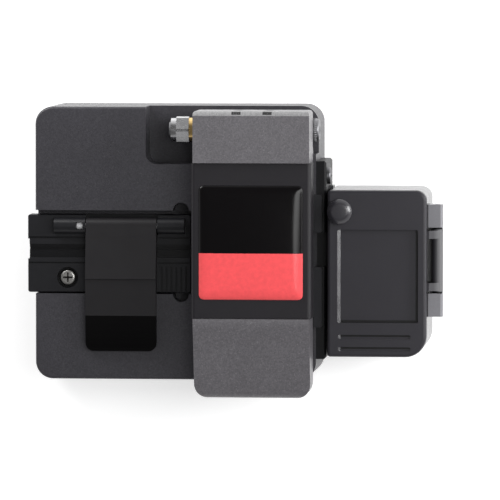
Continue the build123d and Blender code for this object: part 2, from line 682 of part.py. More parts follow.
def lower_clamps():
    """Two blocks that stand on the deck and reach over the carriage slot to the blade."""
    z0 = DECK_Z1
    shelf = DECK_Z1 + 1.5
    y0 = CLAMP_Y0 - LOWER_END
    y1 = CLAMP_Y1 + LOWER_END
    left = [(CLAMP_LX0, z0), (SLOT_X0 - 0.2, z0), (SLOT_X0 - 0.2, shelf), (CLAMP_LX1, shelf),
            (CLAMP_LX1, LOWER_TOP), (CLAMP_LX0, LOWER_TOP)]
    right = [(LOWER_FOOT_X, z0), (SLOT_X1 + 0.2, z0), (SLOT_X1 + 0.2, shelf),
             (CLAMP_RX0, shelf), (CLAMP_RX0, LOWER_TOP), (LOWER_FOOT_X, LOWER_TOP)]
    blocks = []
    for outline, x0, x1 in ((left, CLAMP_LX0, CLAMP_LX1), (right, CLAMP_RX0, CLAMP_RX1)):
        solid = front_prism(outline, y0, y1)
        solid -= block(x0 + 0.5, x1 - 0.5, PAD_Y0, PAD_Y1, PAD_TOP - PAD_T, PAD_TOP)
        for x, y in CLAMP_SCREWS:
            solid -= post(x, y, z0 - 1, PAD_TOP, CLAMP_SCREW_R + SET)
            solid -= post(x, y, LOWER_TOP - CLAMP_HEAD_H - 0.2, PAD_TOP, CLAMP_HEAD_R + 0.2)
        blocks.append(solid)
    return blocks


def clamp_screws():
    """Sunk screws that hold the lower blocks to the deck."""
    length = LOWER_TOP - DECK_Z0 - 0.9
    screw = flat_screw(CLAMP_HEAD_R, CLAMP_HEAD_H, CLAMP_SCREW_R, length)
    return [Pos(x, y, LOWER_TOP - 0.2) * screw for x, y in CLAMP_SCREWS]


def pads(z0, z1):
    """One rubber pad for each clamp block."""
    return [block(x0 + 0.5 + SET, x1 - 0.5 - SET, PAD_Y0 + SET, PAD_Y1 - SET, z0, z1)
            for x0, x1 in ((CLAMP_LX0, CLAMP_LX1), (CLAMP_RX0, CLAMP_RX1))]


def lower_pads():
    """Rubber pads let into the lower blocks."""
    return pads(PAD_TOP - PAD_T, PAD_TOP)


def upper_clamp():
    """Carrier in the cover with a foot each side of the anvil."""
    body = block(CLAMP_LX0, CLAMP_RX1, CLAMP_Y0, CLAMP_Y1, CARRIER_Z0, CARRIER_Z1, 1.0)
    for x0, x1 in ((CLAMP_LX0, CLAMP_LX1), (CLAMP_RX0, CLAMP_RX1)):
        foot = block(x0, x1, CLAMP_Y0, CLAMP_Y1, UPPER_FOOT_Z, CARRIER_Z0)
        foot = fillet(foot.edges().filter_by(Axis.X).group_by(Axis.Z)[0], 0.8)
        body += foot
        body -= block(x0 + 0.5, x1 - 0.5, PAD_Y0, PAD_Y1, UPPER_PAD_Z - 1, UPPER_PAD_Z + PAD_T)
    half_w = ANVIL_W / 2 + 0.15
    half_l = ANVIL_L / 2 + 0.15
    body -= block(ANVIL_X - half_w, ANVIL_X + half_w, FIBRE_Y - half_l, FIBRE_Y + half_l,
                  CARRIER_Z0 - 1, CARRIER_Z1 + 1)
    for x, y in POSTS:
        body -= post(x, y, CARRIER_Z0 + 0.3, CARRIER_Z1 + 1, POST_R + SET)
    return body


def upper_pads():
    """Rubber pads let into the carrier's feet."""
    return pads(UPPER_PAD_Z, UPPER_PAD_Z + PAD_T)


def clamp_posts():
    """Shoulder screws that hang the carrier in the cover's roof."""
    screws = []
    for x, y in POSTS:
        screw = post(x, y, CARRIER_Z0 + 0.4, POST_HEAD_Z, POST_R)
        screw += post(x, y, POST_HEAD_Z, POST_HEAD_Z + 1.0, POST_HEAD_R)
        screw -= block(x - 3, x + 3, y - 0.3, y + 0.3, POST_HEAD_Z + 0.5, POST_HEAD_Z + 2)
        screws.append(screw)
    return screws


def clamp_springs():
    """Springs that press the carrier down, one on each post."""
    return [coil(x, y, CARRIER_Z1, COVER_ROOF_Z, SPRING_R, 0.28, 3.5) for x, y in POSTS]


def anvil():
    """Sprung bar that bends the fibre down between the clamps, with its guide stem."""
    body = block(ANVIL_X - ANVIL_W / 2, ANVIL_X + ANVIL_W / 2, FIBRE_Y - ANVIL_L / 2,
                 FIBRE_Y + ANVIL_L / 2, ANVIL_Z, ANVIL_COLLAR_Z)
    body = fillet(body.edges().filter_by(Axis.Y).group_by(Axis.Z)[0], 0.5)
    body += post(ANVIL_X, FIBRE_Y, ANVIL_COLLAR_Z, ANVIL_COLLAR_Z + 0.6, ANVIL_COLLAR_R)
    body += post(ANVIL_X, FIBRE_Y, ANVIL_COLLAR_Z, ANVIL_STEM_TOP, ANVIL_STEM_R)
    return body


def anvil_nut():
    """Slotted round nut that stops the anvil's stem in the cover's roof."""
    nut = post(ANVIL_X, FIBRE_Y, ANVIL_NUT_Z, ANVIL_STEM_TOP, ANVIL_NUT_R)
    nut -= post(ANVIL_X, FIBRE_Y, ANVIL_STEM_TOP - 2, ANVIL_STEM_TOP + 1, ANVIL_STEM_R + SET)
    return nut


def anvil_spring():
    """Spring round the anvil's stem."""
    return coil(ANVIL_X, FIBRE_Y, ANVIL_COLLAR_Z + 0.6, COVER_ROOF_Z, 1.7, 0.22, 3.0)


# Cover and its hinge

COVER_MID_X = (COVER_X0 + COVER_X1) / 2
SPACER_X0 = COVER_X0 - 2.5
NUT_L = 4.8
NUT_X0 = SPACER_X0 - NUT_L
HEAD_R = 3.0
HEAD_X1 = RIGHT_CHEEK_X1 + 2.1
BACK_WALL = 2.2
BACK_ROUND = 1.5
MAGNET_T = 1.6
BACK_SCREWS = (16.9, 25.0)
BACK_SCREW_Z = COVER_TOP - 7.0
BACK_SCREW_R = 1.4


def cover_outline():
    """Cover's outside: its side profile cut to its plan."""
    brow_y = SADDLE_Y0 - 1.5
    lip_z = COVER_Z0 + 3.7
    profile = [(COVER_Y1, HINGE_Z + 6), (COVER_Y1, COVER_TOP), (brow_y, COVER_TOP),
               (COVER_Y0, COVER_NOSE_Z), (COVER_Y0, lip_z), (COVER_Y0 + 4.0, COVER_Z0),
               (HINGE_Y - 5.6, COVER_Z0), (HINGE_Y - 4.1, HINGE_Z + 6)]
    face = Plane.YZ.offset(COVER_X0) * Polygon(*profile, align=None)
    corners = ((COVER_Y1, COVER_TOP, BACK_ROUND), (brow_y, COVER_TOP, 6.0),
               (COVER_Y0, COVER_NOSE_Z, 2.2), (COVER_Y0, lip_z, 1.8))
    for y, z, r in corners:
        corner = face.vertices().sort_by_distance((COVER_X0, y, z))[0]
        face = fillet(corner, r)
    side = extrude(face, COVER_X1 - COVER_X0, dir=(1, 0, 0))
    plan = rounded_plan(COVER_X0, COVER_X1, COVER_Y0, COVER_Y1, COVER_Z0 - 1, COVER_TOP + 1,
                        0.9, 0.9, 3.7, 3.7)
    return side & plan


def cheek(x0, x1):
    """Ear of the cover that the axle passes through."""
    ear = bar_x(x0, x1, HINGE_Y, HINGE_Z, CHEEK_R)
    ear += block(x0, x1, HINGE_Y - CHEEK_R, HINGE_Y + CHEEK_R, HINGE_Z, COVER_Z0 + 3)
    return ear


def cover_body():
    """Hollow cover with its cheeks, the saddle's seat and the seats in its roof."""
    body = cover_outline()
    body += cheek(COVER_X0, LEFT_CHEEK_X1) + cheek(RIGHT_CHEEK_X0, RIGHT_CHEEK_X1)
    inner_x0 = COVER_X0 + COVER_WALL
    inner_x1 = COVER_X1 - COVER_WALL
    back = COVER_Y1 - BACK_WALL
    body -= block(inner_x0, inner_x1, CAVITY_Y0, HINGE_Y - 6, COVER_Z0 - 5, COVER_ROOF_Z, 1.5)
    body -= block(inner_x0, RIGHT_CHEEK_X0, HINGE_Y - 9, back, HINGE_Z - 6, COVER_ROOF_Z, 1.0)
    body -= bar_x(COVER_X0 - 1, COVER_X1 + 1, HINGE_Y, HINGE_Z, AXLE_R + SET)
    body -= saddle_seat()
    for x, y in POSTS:
        body -= post(x, y, COVER_ROOF_Z - 1, POST_HEAD_Z + 1, POST_R + RUN)
        body -= post(x, y, POST_HEAD_Z, COVER_TOP, POST_HEAD_R + 0.2)
    body -= post(ANVIL_X, FIBRE_Y, COVER_ROOF_Z - 1, POST_HEAD_Z + 1, ANVIL_STEM_R + RUN)
    body -= post(ANVIL_X, FIBRE_Y, POST_HEAD_Z, COVER_TOP, ANVIL_NUT_R + 0.2)
    body -= post(*KEEPER, COVER_Z0 - 1, COVER_Z0 + MAGNET_T, KEEPER_R + SET)
    for x in BACK_SCREWS:
        body -= bar_y(back - 1, COVER_Y1 + 1, x, BACK_SCREW_Z, BACK_SCREW_R + SET)
    return body


def saddle_seat():
    """Step round the middle of the cover that the saddle fills."""
    y0 = SADDLE_Y0 - 0.15
    y1 = SADDLE_Y1 + 0.15
    deep = SADDLE_T + 0.1
    cut = block(COVER_X0 - 5, COVER_X1 + 5, y0, y1, SADDLE_TOP - deep, COVER_TOP + 1)
    skirt_z = SADDLE_TOP - SADDLE_SKIRT - 0.1
    cut += block(COVER_X0 - 5, SADDLE_X0 + deep, y0, y1, skirt_z, COVER_TOP + 1)
    cut += block(SADDLE_X1 - deep, COVER_X1 + 5, y0, y1, skirt_z, COVER_TOP + 1)
    return cut


def saddle():
    """Satin cap over the middle of the cover, with a skirt down each side."""
    z0 = SADDLE_TOP - SADDLE_SKIRT
    outer = block(SADDLE_X0, SADDLE_X1, SADDLE_Y0, SADDLE_Y1, z0, SADDLE_TOP)
    outer = fillet(outer.edges().filter_by(Axis.Y).group_by(Axis.Z)[-1], 1.0)
    inner = block(SADDLE_X0 + SADDLE_T, SADDLE_X1 - SADDLE_T, SADDLE_Y0 - 1, SADDLE_Y1 + 1,
                  z0 - 1, SADDLE_TOP - SADDLE_T)
    return outer - inner


def label():
    """Domed plate on the saddle."""
    plate = block(LABEL_X0, LABEL_X1, LABEL_Y0, LABEL_Y1, SADDLE_TOP, SADDLE_TOP + LABEL_T, LABEL_R)
    return fillet(plate.edges().group_by(Axis.Z)[-1], 0.95)


def cover_magnet():
    """Disc magnet in the cover's underside."""
    return post(*KEEPER, COVER_Z0, COVER_Z0 + MAGNET_T, KEEPER_R)


def back_screws():
    """Socket set screws in the cover's back wall."""
    screws = []
    for x in BACK_SCREWS:
        screw = bar_y(COVER_Y1 - BACK_WALL + 0.1, COVER_Y1 - 0.1, x, BACK_SCREW_Z, BACK_SCREW_R)
        socket = Pos(x, COVER_Y1 - 1.3, BACK_SCREW_Z) * Rot(-90, 0, 0) * hexagon(1.3, 3)
        screws.append(screw - socket)
    return screws


def hinge_bushes():
    """Flanged brass bushes pressed into the hinge block."""
    bushes = []
    for x0, flange in ((BLOCK_X0, BLOCK_X0 - BUSH_FLANGE_T), (BLOCK_X1 - BUSH_L, BLOCK_X1)):
        bush = bar_x(x0, x0 + BUSH_L, HINGE_Y, HINGE_Z, BUSH_R)
        bush += bar_x(flange, flange + BUSH_FLANGE_T, HINGE_Y, HINGE_Z, BUSH_FLANGE_R)
        bush -= bar_x(x0 - 3, x0 + BUSH_L + 3, HINGE_Y, HINGE_Z, AXLE_R + RUN)
        bushes.append(bush)
    return bushes


def hinge_bolt():
    """Button-head bolt that is the cover's axle."""
    bolt = bar_x(NUT_X0 - 0.5, RIGHT_CHEEK_X1, HINGE_Y, HINGE_Z, AXLE_R)
    head = bar_x(RIGHT_CHEEK_X1, HEAD_X1, HINGE_Y, HINGE_Z, HEAD_R)
    head = fillet(head.edges().group_by(Axis.X)[-1], 0.6)
    socket = Pos(HEAD_X1 - 0.8, HINGE_Y, HINGE_Z) * Rot(0, 90, 0) * hexagon(2.0, 3)
    return bolt + head - socket


def hinge_spacer():
    """Brass spacer between the cover's left cheek and the nut."""
    ring = bar_x(SPACER_X0, COVER_X0, HINGE_Y, HINGE_Z, 3.2)
    return ring - bar_x(SPACER_X0 - 1, COVER_X0 + 1, HINGE_Y, HINGE_Z, AXLE_R + SET)


def hinge_nut():
    """Lock nut with its round collar on the axle's left end."""
    collar_l = 1.5
    hex_l = NUT_L - collar_l
    nut = Pos(SPACER_X0 - hex_l, HINGE_Y, HINGE_Z) * Rot(0, 90, 0) * hexagon(7.0, hex_l)
    nut &= bar_x(SPACER_X0 - hex_l, SPACER_X0, HINGE_Y, HINGE_Z, 3.85)
    nut += bar_x(NUT_X0, SPACER_X0 - hex_l, HINGE_Y, HINGE_Z, 3.1)
    nut = nut - bar_x(NUT_X0 - 1, SPACER_X0 + 1, HINGE_Y, HINGE_Z, AXLE_R + SET)
    return nut


# Fibre fixture and its flap

COUNTERBORE_R = 2.75
FIX_HEAD_Z = FIX_TOP - 1.9
RIDGE_LX0 = -32.3
RIDGE_RX1 = 2.1
END_NOTCH = 0.4
FLAP_SIDE = 0.25
FLAP_UNDER = FIX_TOP + 0.3
FLAP_OVER_BASE = BASE_TOP + 0.35
PIN_X0 = -27.0
PIN_X1 = -2.0
FLAP_PAD_X = (-21.5, -8.5)
FLAP_PAD_Y = (-4.6, 1.0)
FLAP_MAGNET = (-14.65, -9.0)
MAGNET_R = 2.0
TICKS = 6
TICK_PITCH = 1.3
# Grooves along the plate: middle Y, width and depth. The widest one holds the fibre's own.
GROOVES = ((FIBRE_Y - 0.65, 3.5, 0.5), (FIBRE_Y, 0.7, 1.0), (1.05, 0.5, 0.3), (-5.6, 0.4, 0.3))


def fixture_plate():
    """Plate that holds the fibre: hinge ridges, the fibre's groove, fine grooves and ticks."""
    body = block(FIX_X0, FIX_X1, FIX_Y0, FIX_Y1, FIX_Z0, FIX_TOP, 0.6)
    body = chamfer(body.edges().group_by(Axis.Z)[-1], 0.2)
    for x0, x1 in ((RIDGE_LX0, FLAP_X0 - FLAP_SIDE), (FLAP_X1 + FLAP_SIDE, RIDGE_RX1)):
        body += bar_x(x0, x1, FLAP_HINGE_Y, FLAP_HINGE_Z, KNUCKLE_R)
    trough = FLAP_HINGE_Z - KNUCKLE_R - 0.35
    body -= block(FLAP_X0 - FLAP_SIDE, FLAP_X1 + FLAP_SIDE, FLAP_HINGE_Y - KNUCKLE_R - 0.5,
                  FIX_Y1 + 1, trough, FIX_TOP + 5)
    body -= bar_x(PIN_X0, PIN_X1, FLAP_HINGE_Y, FLAP_HINGE_Z, FLAP_PIN_R + SET)
    body -= block(PIN_X0 + 0.6, PIN_X0 + 2.4, FLAP_HINGE_Y - 1, FLAP_HINGE_Y + 1,
                  FLAP_HINGE_Z, FIX_TOP + 5)
    for y, width, depth in GROOVES:
        body -= block(FIX_X0 - 1, FIX_X1 + 1, y - width / 2, y + width / 2,
                      FIX_TOP - depth, FIX_TOP + 1)
    for i in range(TICKS):
        x = FIX_X1 - 1.2 - TICK_PITCH * i
        body -= block(x - 0.2, x + 0.2, FIX_Y0 - 1, -6.6, FIX_TOP - 0.25, FIX_TOP + 1)
    body -= block(FIX_X0 - 1, FIX_X0 + END_NOTCH, FIBRE_Y - 2.8, FIBRE_Y + 2.5,
                  FIX_Z0 - 1, FIX_TOP + 1)
    for x, y in FIX_SCREWS:
        body -= post(x, y, FIX_HEAD_Z, FIX_TOP + 1, COUNTERBORE_R)
        body -= post(x, y, FIX_Z0 - 1, FIX_TOP, FIX_SHANK_R + 0.1)
    body -= post(*FLAP_MAGNET, FIX_TOP - 1.2, FIX_TOP + 1, MAGNET_R + SET)
    return body


def fixture_screws():
    """Pan-head screws of the fixture plate; one is under the flap."""
    screw = pan_screw(FIX_SCREW_R, 1.6, FIX_SHANK_R, FIX_HEAD_Z - FIX_Z0 + 2.6)
    return [Pos(x, y, FIX_HEAD_Z) * screw for x, y in FIX_SCREWS]


def fixture_keeper():
    """Steel disc in the fixture plate under the flap's magnet."""
    return post(*FLAP_MAGNET, FIX_TOP - 1.2, FIX_TOP, MAGNET_R)


def flap_plan(z0, z1):
    """Flap's outline seen from above."""
    return rounded_plan(FLAP_X0, FLAP_X1, FLAP_Y0, FLAP_HINGE_Y + KNUCKLE_R, z0, z1,
                        0, 0, 2.1, 2.1)


def flap():
    """Flap that holds the fibre down: barrel, stepped top facets and a raised underside in front."""
    top = FLAP_TOP
    crown = FLAP_HINGE_Z + KNUCKLE_R
    outline = [(FLAP_HINGE_Y, crown), (FLAP_HINGE_Y - CROWN_L, crown + 0.5), (FLAP_FACET_Y, top),
               (FLAP_FACET_Y - 0.25, top - 0.45), (FLAP_TAB_Y, top - 0.75),
               (FLAP_TAB_Y, FLAP_OVER_BASE), (FIX_Y0 + 0.4, FLAP_OVER_BASE),
               (FIX_Y0 + 1.4, FLAP_UNDER), (FLAP_HINGE_Y - 1, FLAP_UNDER),
               (FLAP_HINGE_Y, FLAP_HINGE_Z - 1.1)]
    body = side_prism(outline, FLAP_X0, FLAP_X1)
    body += bar_x(FLAP_X0, FLAP_X1, FLAP_HINGE_Y, FLAP_HINGE_Z, KNUCKLE_R)
    body -= bar_x(FLAP_X0 - 1, FLAP_X1 + 1, FLAP_HINGE_Y, FLAP_HINGE_Z, FLAP_PIN_R + RUN)
    body -= block(FLAP_PAD_X[0], FLAP_PAD_X[1], FLAP_PAD_Y[0], FLAP_PAD_Y[1],
                  FLAP_UNDER - 1, FLAP_UNDER + 0.7)
    body -= post(*FLAP_MAGNET, FLAP_UNDER - 1, FLAP_UNDER + 1.5, MAGNET_R + SET)
    return body


def flap_tab():
    """Thumb tab on the flap's front, curving down to its tip."""
    y0 = FLAP_Y0
    y1 = FLAP_TAB_Y
    top = FLAP_TOP - 0.75
    steps = 7
    outline = []
    for i in range(steps + 1):
        angle = math.pi / 2 * i / steps
        outline.append((y1 + (y0 - y1) * math.sin(angle),
                        FLAP_OVER_BASE + 0.7 + (top - FLAP_OVER_BASE - 0.7) * math.cos(angle)))
    outline += [(y0, FLAP_OVER_BASE), (y1, FLAP_OVER_BASE)]
    return side_prism(outline, FLAP_X0, FLAP_X1) & flap_plan(FLAP_OVER_BASE - 1, top + 1)


def flap_pad():
    """Rubber strip under the flap that presses on the fibre."""
    return block(FLAP_PAD_X[0] + SET, FLAP_PAD_X[1] - SET, FLAP_PAD_Y[0] + SET,
                 FLAP_PAD_Y[1] - SET, FLAP_UNDER - 0.25, FLAP_UNDER + 0.7)


def flap_magnet():
    """Disc magnet that holds the flap shut."""
    return post(*FLAP_MAGNET, FLAP_UNDER, FLAP_UNDER + 1.5, MAGNET_R)


def flap_pin():
    """Steel pin through the flap's barrel and both ridges."""
    pin = bar_x(PIN_X0 + 0.1, PIN_X1 - 0.1, FLAP_HINGE_Y, FLAP_HINGE_Z, FLAP_PIN_R)
    return fillet(pin.edges().group_by(Axis.X)[0], 0.3)


# Collector bracket

BRACKET_SCREWS = ((17.4, 26.6), (-26.4, 17.0))
BRACKET_HEAD_R = 2.2
BRACKET_HEAD_H = 0.95
LOW_HEAD_H = 0.55
LOW_SEAT = 0.65     # depth of the sunken screw's seat below the track's floor
STRIP_X0 = COVER_X1 + 0.2
STRIP_X1 = BRACKET_X1 - 1.0
STRIP_Y = (-22.2, 12.7)
STRIP_T = 1.8


def track_outline():
    """Dovetail section of the collector's track, from its mouth to its floor."""
    floor_x = BRACKET_X1 - TRACK_DEPTH
    return [(BRACKET_X1 + 0.01, TRACK_Z0 + TRACK_LIP), (floor_x, TRACK_Z0),
            (floor_x, TRACK_Z1), (BRACKET_X1 + 0.01, TRACK_Z1 - TRACK_LIP)]


def tongue_outline():
    """Dovetail section of the collector's tongue, smaller than the track by its play."""
    tip_x = BRACKET_X1 - TRACK_DEPTH + TONGUE_PLAY
    inset = TONGUE_PLAY * (1.3 + TRACK_LIP / TRACK_DEPTH)
    low = TRACK_Z0 + TRACK_LIP + TONGUE_PLAY * 1.3
    high = TRACK_Z1 - TRACK_LIP - TONGUE_PLAY * 1.3
    root_x = BIN_X0 + 0.5
    return [(root_x, low), (BRACKET_X1, low), (tip_x, TRACK_Z0 + inset),
            (tip_x, TRACK_Z1 - inset), (BRACKET_X1, high), (root_x, high)]


def collector_bracket():
    """Bar on the base's side with a dovetail track that is closed at its back end."""
    body = block(BRACKET_X0, BRACKET_X1, BRACKET_Y0, BRACKET_Y1, BRACKET_Z0, BRACKET_Z1)
    right = body.edges().group_by(Axis.X)[-1]
    body = chamfer(right, 0.5)
    floor_x = BRACKET_X1 - TRACK_DEPTH
    body -= front_prism(track_outline(), BRACKET_Y0 - 1, TRACK_END_Y)
    top_z = FIBRE_Z - 2
    body -= block(BRACKET_X0 - 1, BRACKET_X1 + 1, FIBRE_Y - FIBRE_ROOM, FIBRE_Y + FIBRE_ROOM,
                  top_z, BRACKET_Z1 + 1)
    for y, z in BRACKET_SCREWS:
        body -= bar_x(BRACKET_X0 - 1, BRACKET_X1 + 1, y, z, BRACKET_BORE + 0.1)
    y, z = BRACKET_SCREWS[1]
    body -= bar_x(floor_x - LOW_SEAT, BRACKET_X1 + 1, y, z, BRACKET_HEAD_R + SET)
    return body


def bracket_screws():
    """Pan-head screws of the bracket: one behind the collector and one sunk in the track."""
    (y0, z0), (y1, z1) = BRACKET_SCREWS
    floor_x = BRACKET_X1 - TRACK_DEPTH - LOW_SEAT
    back = pan_screw(BRACKET_HEAD_R, BRACKET_HEAD_H, BRACKET_BORE, BRACKET_T + 1.9)
    low = pan_screw(BRACKET_HEAD_R, LOW_HEAD_H, BRACKET_BORE, floor_x - BASE_X1 + WALL - 0.1)
    return [Pos(BRACKET_X1, y0, z0) * Rot(0, 90, 0) * back,
            Pos(floor_x, y1, z1) * Rot(0, 90, 0) * low]


def rail_strip():
    """Grey strip on the bracket beside the cover, in two lengths each side of the fibre."""
    strips = []
    for y0, y1 in ((STRIP_Y[0], FIBRE_Y - FIBRE_ROOM), (FIBRE_Y + FIBRE_ROOM, STRIP_Y[1])):
        strips.append(block(STRIP_X0, STRIP_X1, y0, y1, BRACKET_Z1, BRACKET_Z1 + STRIP_T, 0.7))
    return strips


# Scrap collector

LID_Z0 = BIN_TOP + LID_GAP
TONGUE_PLAY = 0.1
ROLLER_LOW_Z = FIBRE_Z - ROLLER_NIP / 2 - ROLLER_R
ROLLER_HIGH_Z = FIBRE_Z + ROLLER_NIP / 2 + ROLLER_R
EAR_Y = ((ROLLER_Y[0] - 1.7, ROLLER_Y[0] - 0.3), (ROLLER_Y[1] + 0.3, ROLLER_Y[1] + 1.7))
NOTCH_Y = (FIBRE_Y - 4.0, FIBRE_Y + 4.0)
CATCH_Z = FIBRE_Z - 2.8
BUTTON_STEM_R = 1.2
BUTTON_TIP_Z = CATCH_Z + 0.6


def bin_plan(z0, z1, inset):
    """Collector's outline seen from above, drawn in by inset."""
    return rounded_plan(BIN_X0 + inset, BIN_X1 - inset, BIN_Y0 + inset, BIN_Y1 - inset, z0, z1,
                        0.8, BIN_R_BACK - inset / 2, 0.8, BIN_R_FRONT - inset)


def lug_rib():
    """Rib on the bin's right wall that joins the two lugs below the lid's barrel."""
    top = LID_HINGE_Z - LID_HINGE_R - 0.6
    outline = [(BIN_X1 - 0.5, top - 3.0), (LUG_X1 - 1.6, top - 1.2), (LUG_X1 - 1.6, top),
               (BIN_X1 - 0.5, top)]
    return front_prism(outline, LUGS[1][1] - 0.5, LUGS[0][0] + 0.5)


def collector_housing():
    """Open-topped bin with its dovetail tongue, entry notch, roller ears and hinge lugs."""
    body = bin_plan(BIN_Z0, BIN_TOP, 0.0)
    body = fillet(body.edges().group_by(Axis.Z)[0], 0.7)
    body -= bin_plan(BIN_Z0 + BIN_WALL, BIN_TOP + 1, BIN_WALL)
    body += front_prism(tongue_outline(), BIN_Y0 + 6.0, TRACK_END_Y - 0.05)
    body -= block(BIN_X0 - 1, BIN_X0 + BIN_WALL + 0.5, *NOTCH_Y, FIBRE_Z - 1.5, BIN_TOP + 1)
    for y0, y1 in EAR_Y:
        body += block(BIN_X0 + 1, ROLLER_X + 1.6, y0, y1, ROLLER_LOW_Z - 4, FIBRE_Z - 0.05)
        body -= bar_y(y0 - 1, y1 + 1, ROLLER_X, ROLLER_LOW_Z, ROLLER_SHAFT_R + RUN)
    body += lug_rib()
    for y0, y1 in LUGS:
        body += lug(y0, y1)
        body -= bar_y(y0 - 1, y1 + 1, LID_HINGE_X, LID_HINGE_Z, LID_PIN_R + SET)
    body += block(BIN_X0 + 1, BUTTON_X + 2.2, BUTTON_Y - 2.1, BUTTON_Y + 2.1,
                  CATCH_Z, CATCH_Z + 1.6)
    body -= post(BUTTON_X, BUTTON_Y, CATCH_Z - 1, CATCH_Z + 3, BUTTON_STEM_R + 0.3)
    return body


def lug(y0, y1):
    """Hinge lug on the bin's right wall."""
    x0 = BIN_X1 - 0.5
    outline = [(x0, LID_HINGE_Z - 6), (LUG_X1 - 0.4, LID_HINGE_Z - 2.4),
               (LUG_X1, LID_HINGE_Z - 1.4), (LUG_X1, LID_HINGE_Z + 1.1),
               (LUG_X1 - 0.6, LID_HINGE_Z + 1.6), (x0, LID_HINGE_Z + 1.6)]
    return front_prism(outline, y0, y1)


def scrap_lid():
    """Lid with a sunken panel, grip grooves, a hinge barrel on two arms and roller ears."""
    body = bin_plan(LID_Z0, LID_TOP, 0.0)
    body = fillet(body.edges().group_by(Axis.Z)[-1], LID_ROUND)
    body -= bin_plan(LID_Z0 - 1, LID_TOP - LID_T, BIN_WALL)
    body += block(PANEL_X0 - PANEL_RIB, PANEL_X1 + PANEL_RIB, PANEL_Y0 - PANEL_RIB,
                  PANEL_Y1 + PANEL_RIB, LID_TOP - PANEL_DEPTH - 1.0, LID_TOP - PANEL_DEPTH + 0.2)
    body -= block(PANEL_X0, PANEL_X1, PANEL_Y0, PANEL_Y1, LID_TOP - PANEL_DEPTH, LID_TOP + 1,
                  PANEL_R)
    for y in GRIP_Y:
        body -= block(GRIP_X0, GRIP_X1, y - GRIP_W / 2, y + GRIP_W / 2, LID_TOP - GRIP_DEPTH,
                      LID_TOP + 1, GRIP_W / 2 - 0.01)
    for y0, y1 in EAR_Y:
        body += block(ROLLER_X - 1.5, ROLLER_X + 1.5, y0, y1, FIBRE_Z + 0.2,
                      LID_TOP - PANEL_DEPTH - 0.1)
        body -= bar_y(y0 - 0.2, y1 + 0.2, ROLLER_X, ROLLER_HIGH_Z, ROLLER_SHAFT_R + RUN)
    body -= block(ROLLER_X - 1.6, ROLLER_X + 1.6, ROLLER_Y[0] - 0.2, ROLLER_Y[1] + 0.2,
                  LID_Z0 - 1, ROLLER_HIGH_Z + ROLLER_R + 0.15)
    body += lid_arms()
    body -= bar_y(BARREL_Y[0] - 1, BARREL_Y[1] + 1, LID_HINGE_X, LID_HINGE_Z, LID_PIN_R + RUN)
    body += post(BUTTON_X, BUTTON_Y, LID_TOP - LID_T - 0.6, LID_TOP - 0.5, BUTTON_STEM_R + 1.0)
    body -= post(BUTTON_X, BUTTON_Y, LID_Z0 - 2, LID_TOP + 1, BUTTON_STEM_R + RUN)
    return body


def lid_arms():
    """Barrel of the lid's hinge with an arm near each end."""
    z0 = LID_Z0
    arms = bar_y(*BARREL_Y, LID_HINGE_X, LID_HINGE_Z, LID_HINGE_R)
    for y0, y1 in ARMS:
        outline = [(BIN_X1 - 1.0, z0), (BIN_X1 - 1.0, z0 + 1.6), (BIN_X1 + 0.6, z0 + 1.6),
                   (LID_HINGE_X + 0.8, LID_HINGE_Z + 1.2), (LID_HINGE_X, LID_HINGE_Z),
                   (LID_HINGE_X - 1.2, LID_HINGE_Z - 0.5), (BIN_X1 + 0.6, z0)]
        arms += front_prism(outline, y0, y1)
    return arms


def lid_pin():
    """Steel pin of the lid's hinge."""
    return bar_y(LUGS[1][0] + 0.2, LUGS[0][1] - 0.2, LID_HINGE_X, LID_HINGE_Z, LID_PIN_R)


def roller_shaft(z):
    """Steel shaft of a roller."""
    return bar_y(EAR_Y[0][0] + 0.2, EAR_Y[1][1] - 0.2, ROLLER_X, z, ROLLER_SHAFT_R)


def roller_sleeve(z):
    """Rubber sleeve of a roller."""
    sleeve = bar_y(*ROLLER_Y, ROLLER_X, z, ROLLER_R)
    return sleeve - bar_y(ROLLER_Y[0] - 1, ROLLER_Y[1] + 1, ROLLER_X, z, ROLLER_SHAFT_R + SET)


def lid_button():
    """Round button on the lid; its stem stands in the hole of the bin's catch shelf."""
    seat = LID_TOP + BUTTON_TRAVEL + 0.2
    head = post(BUTTON_X, BUTTON_Y, seat, BUTTON_TOP, BUTTON_R)
    head = chamfer(head.edges().group_by(Axis.Z)[-1], 0.9, BUTTON_R - BUTTON_TOP_R)
    stem = post(BUTTON_X, BUTTON_Y, BUTTON_TIP_Z, seat + 0.2, BUTTON_STEM_R)
    stem = chamfer(stem.edges().group_by(Axis.Z)[0], 0.4)
    return head + stem


def button_clip():
    """Steel clip on the button's stem, under the lid."""
    z1 = LID_TOP - LID_T - 0.7
    ring = post(BUTTON_X, BUTTON_Y, z1 - 0.5, z1, BUTTON_STEM_R + 0.25)
    return ring - post(BUTTON_X, BUTTON_Y, z1 - 2, z1 + 1, BUTTON_STEM_R + SET)


def button_spring():
    """Spring between the button and the lid."""
    z1 = LID_TOP + BUTTON_TRAVEL + 0.2
    return coil(BUTTON_X, BUTTON_Y, LID_TOP, z1, 1.75, 0.22, 2.0)


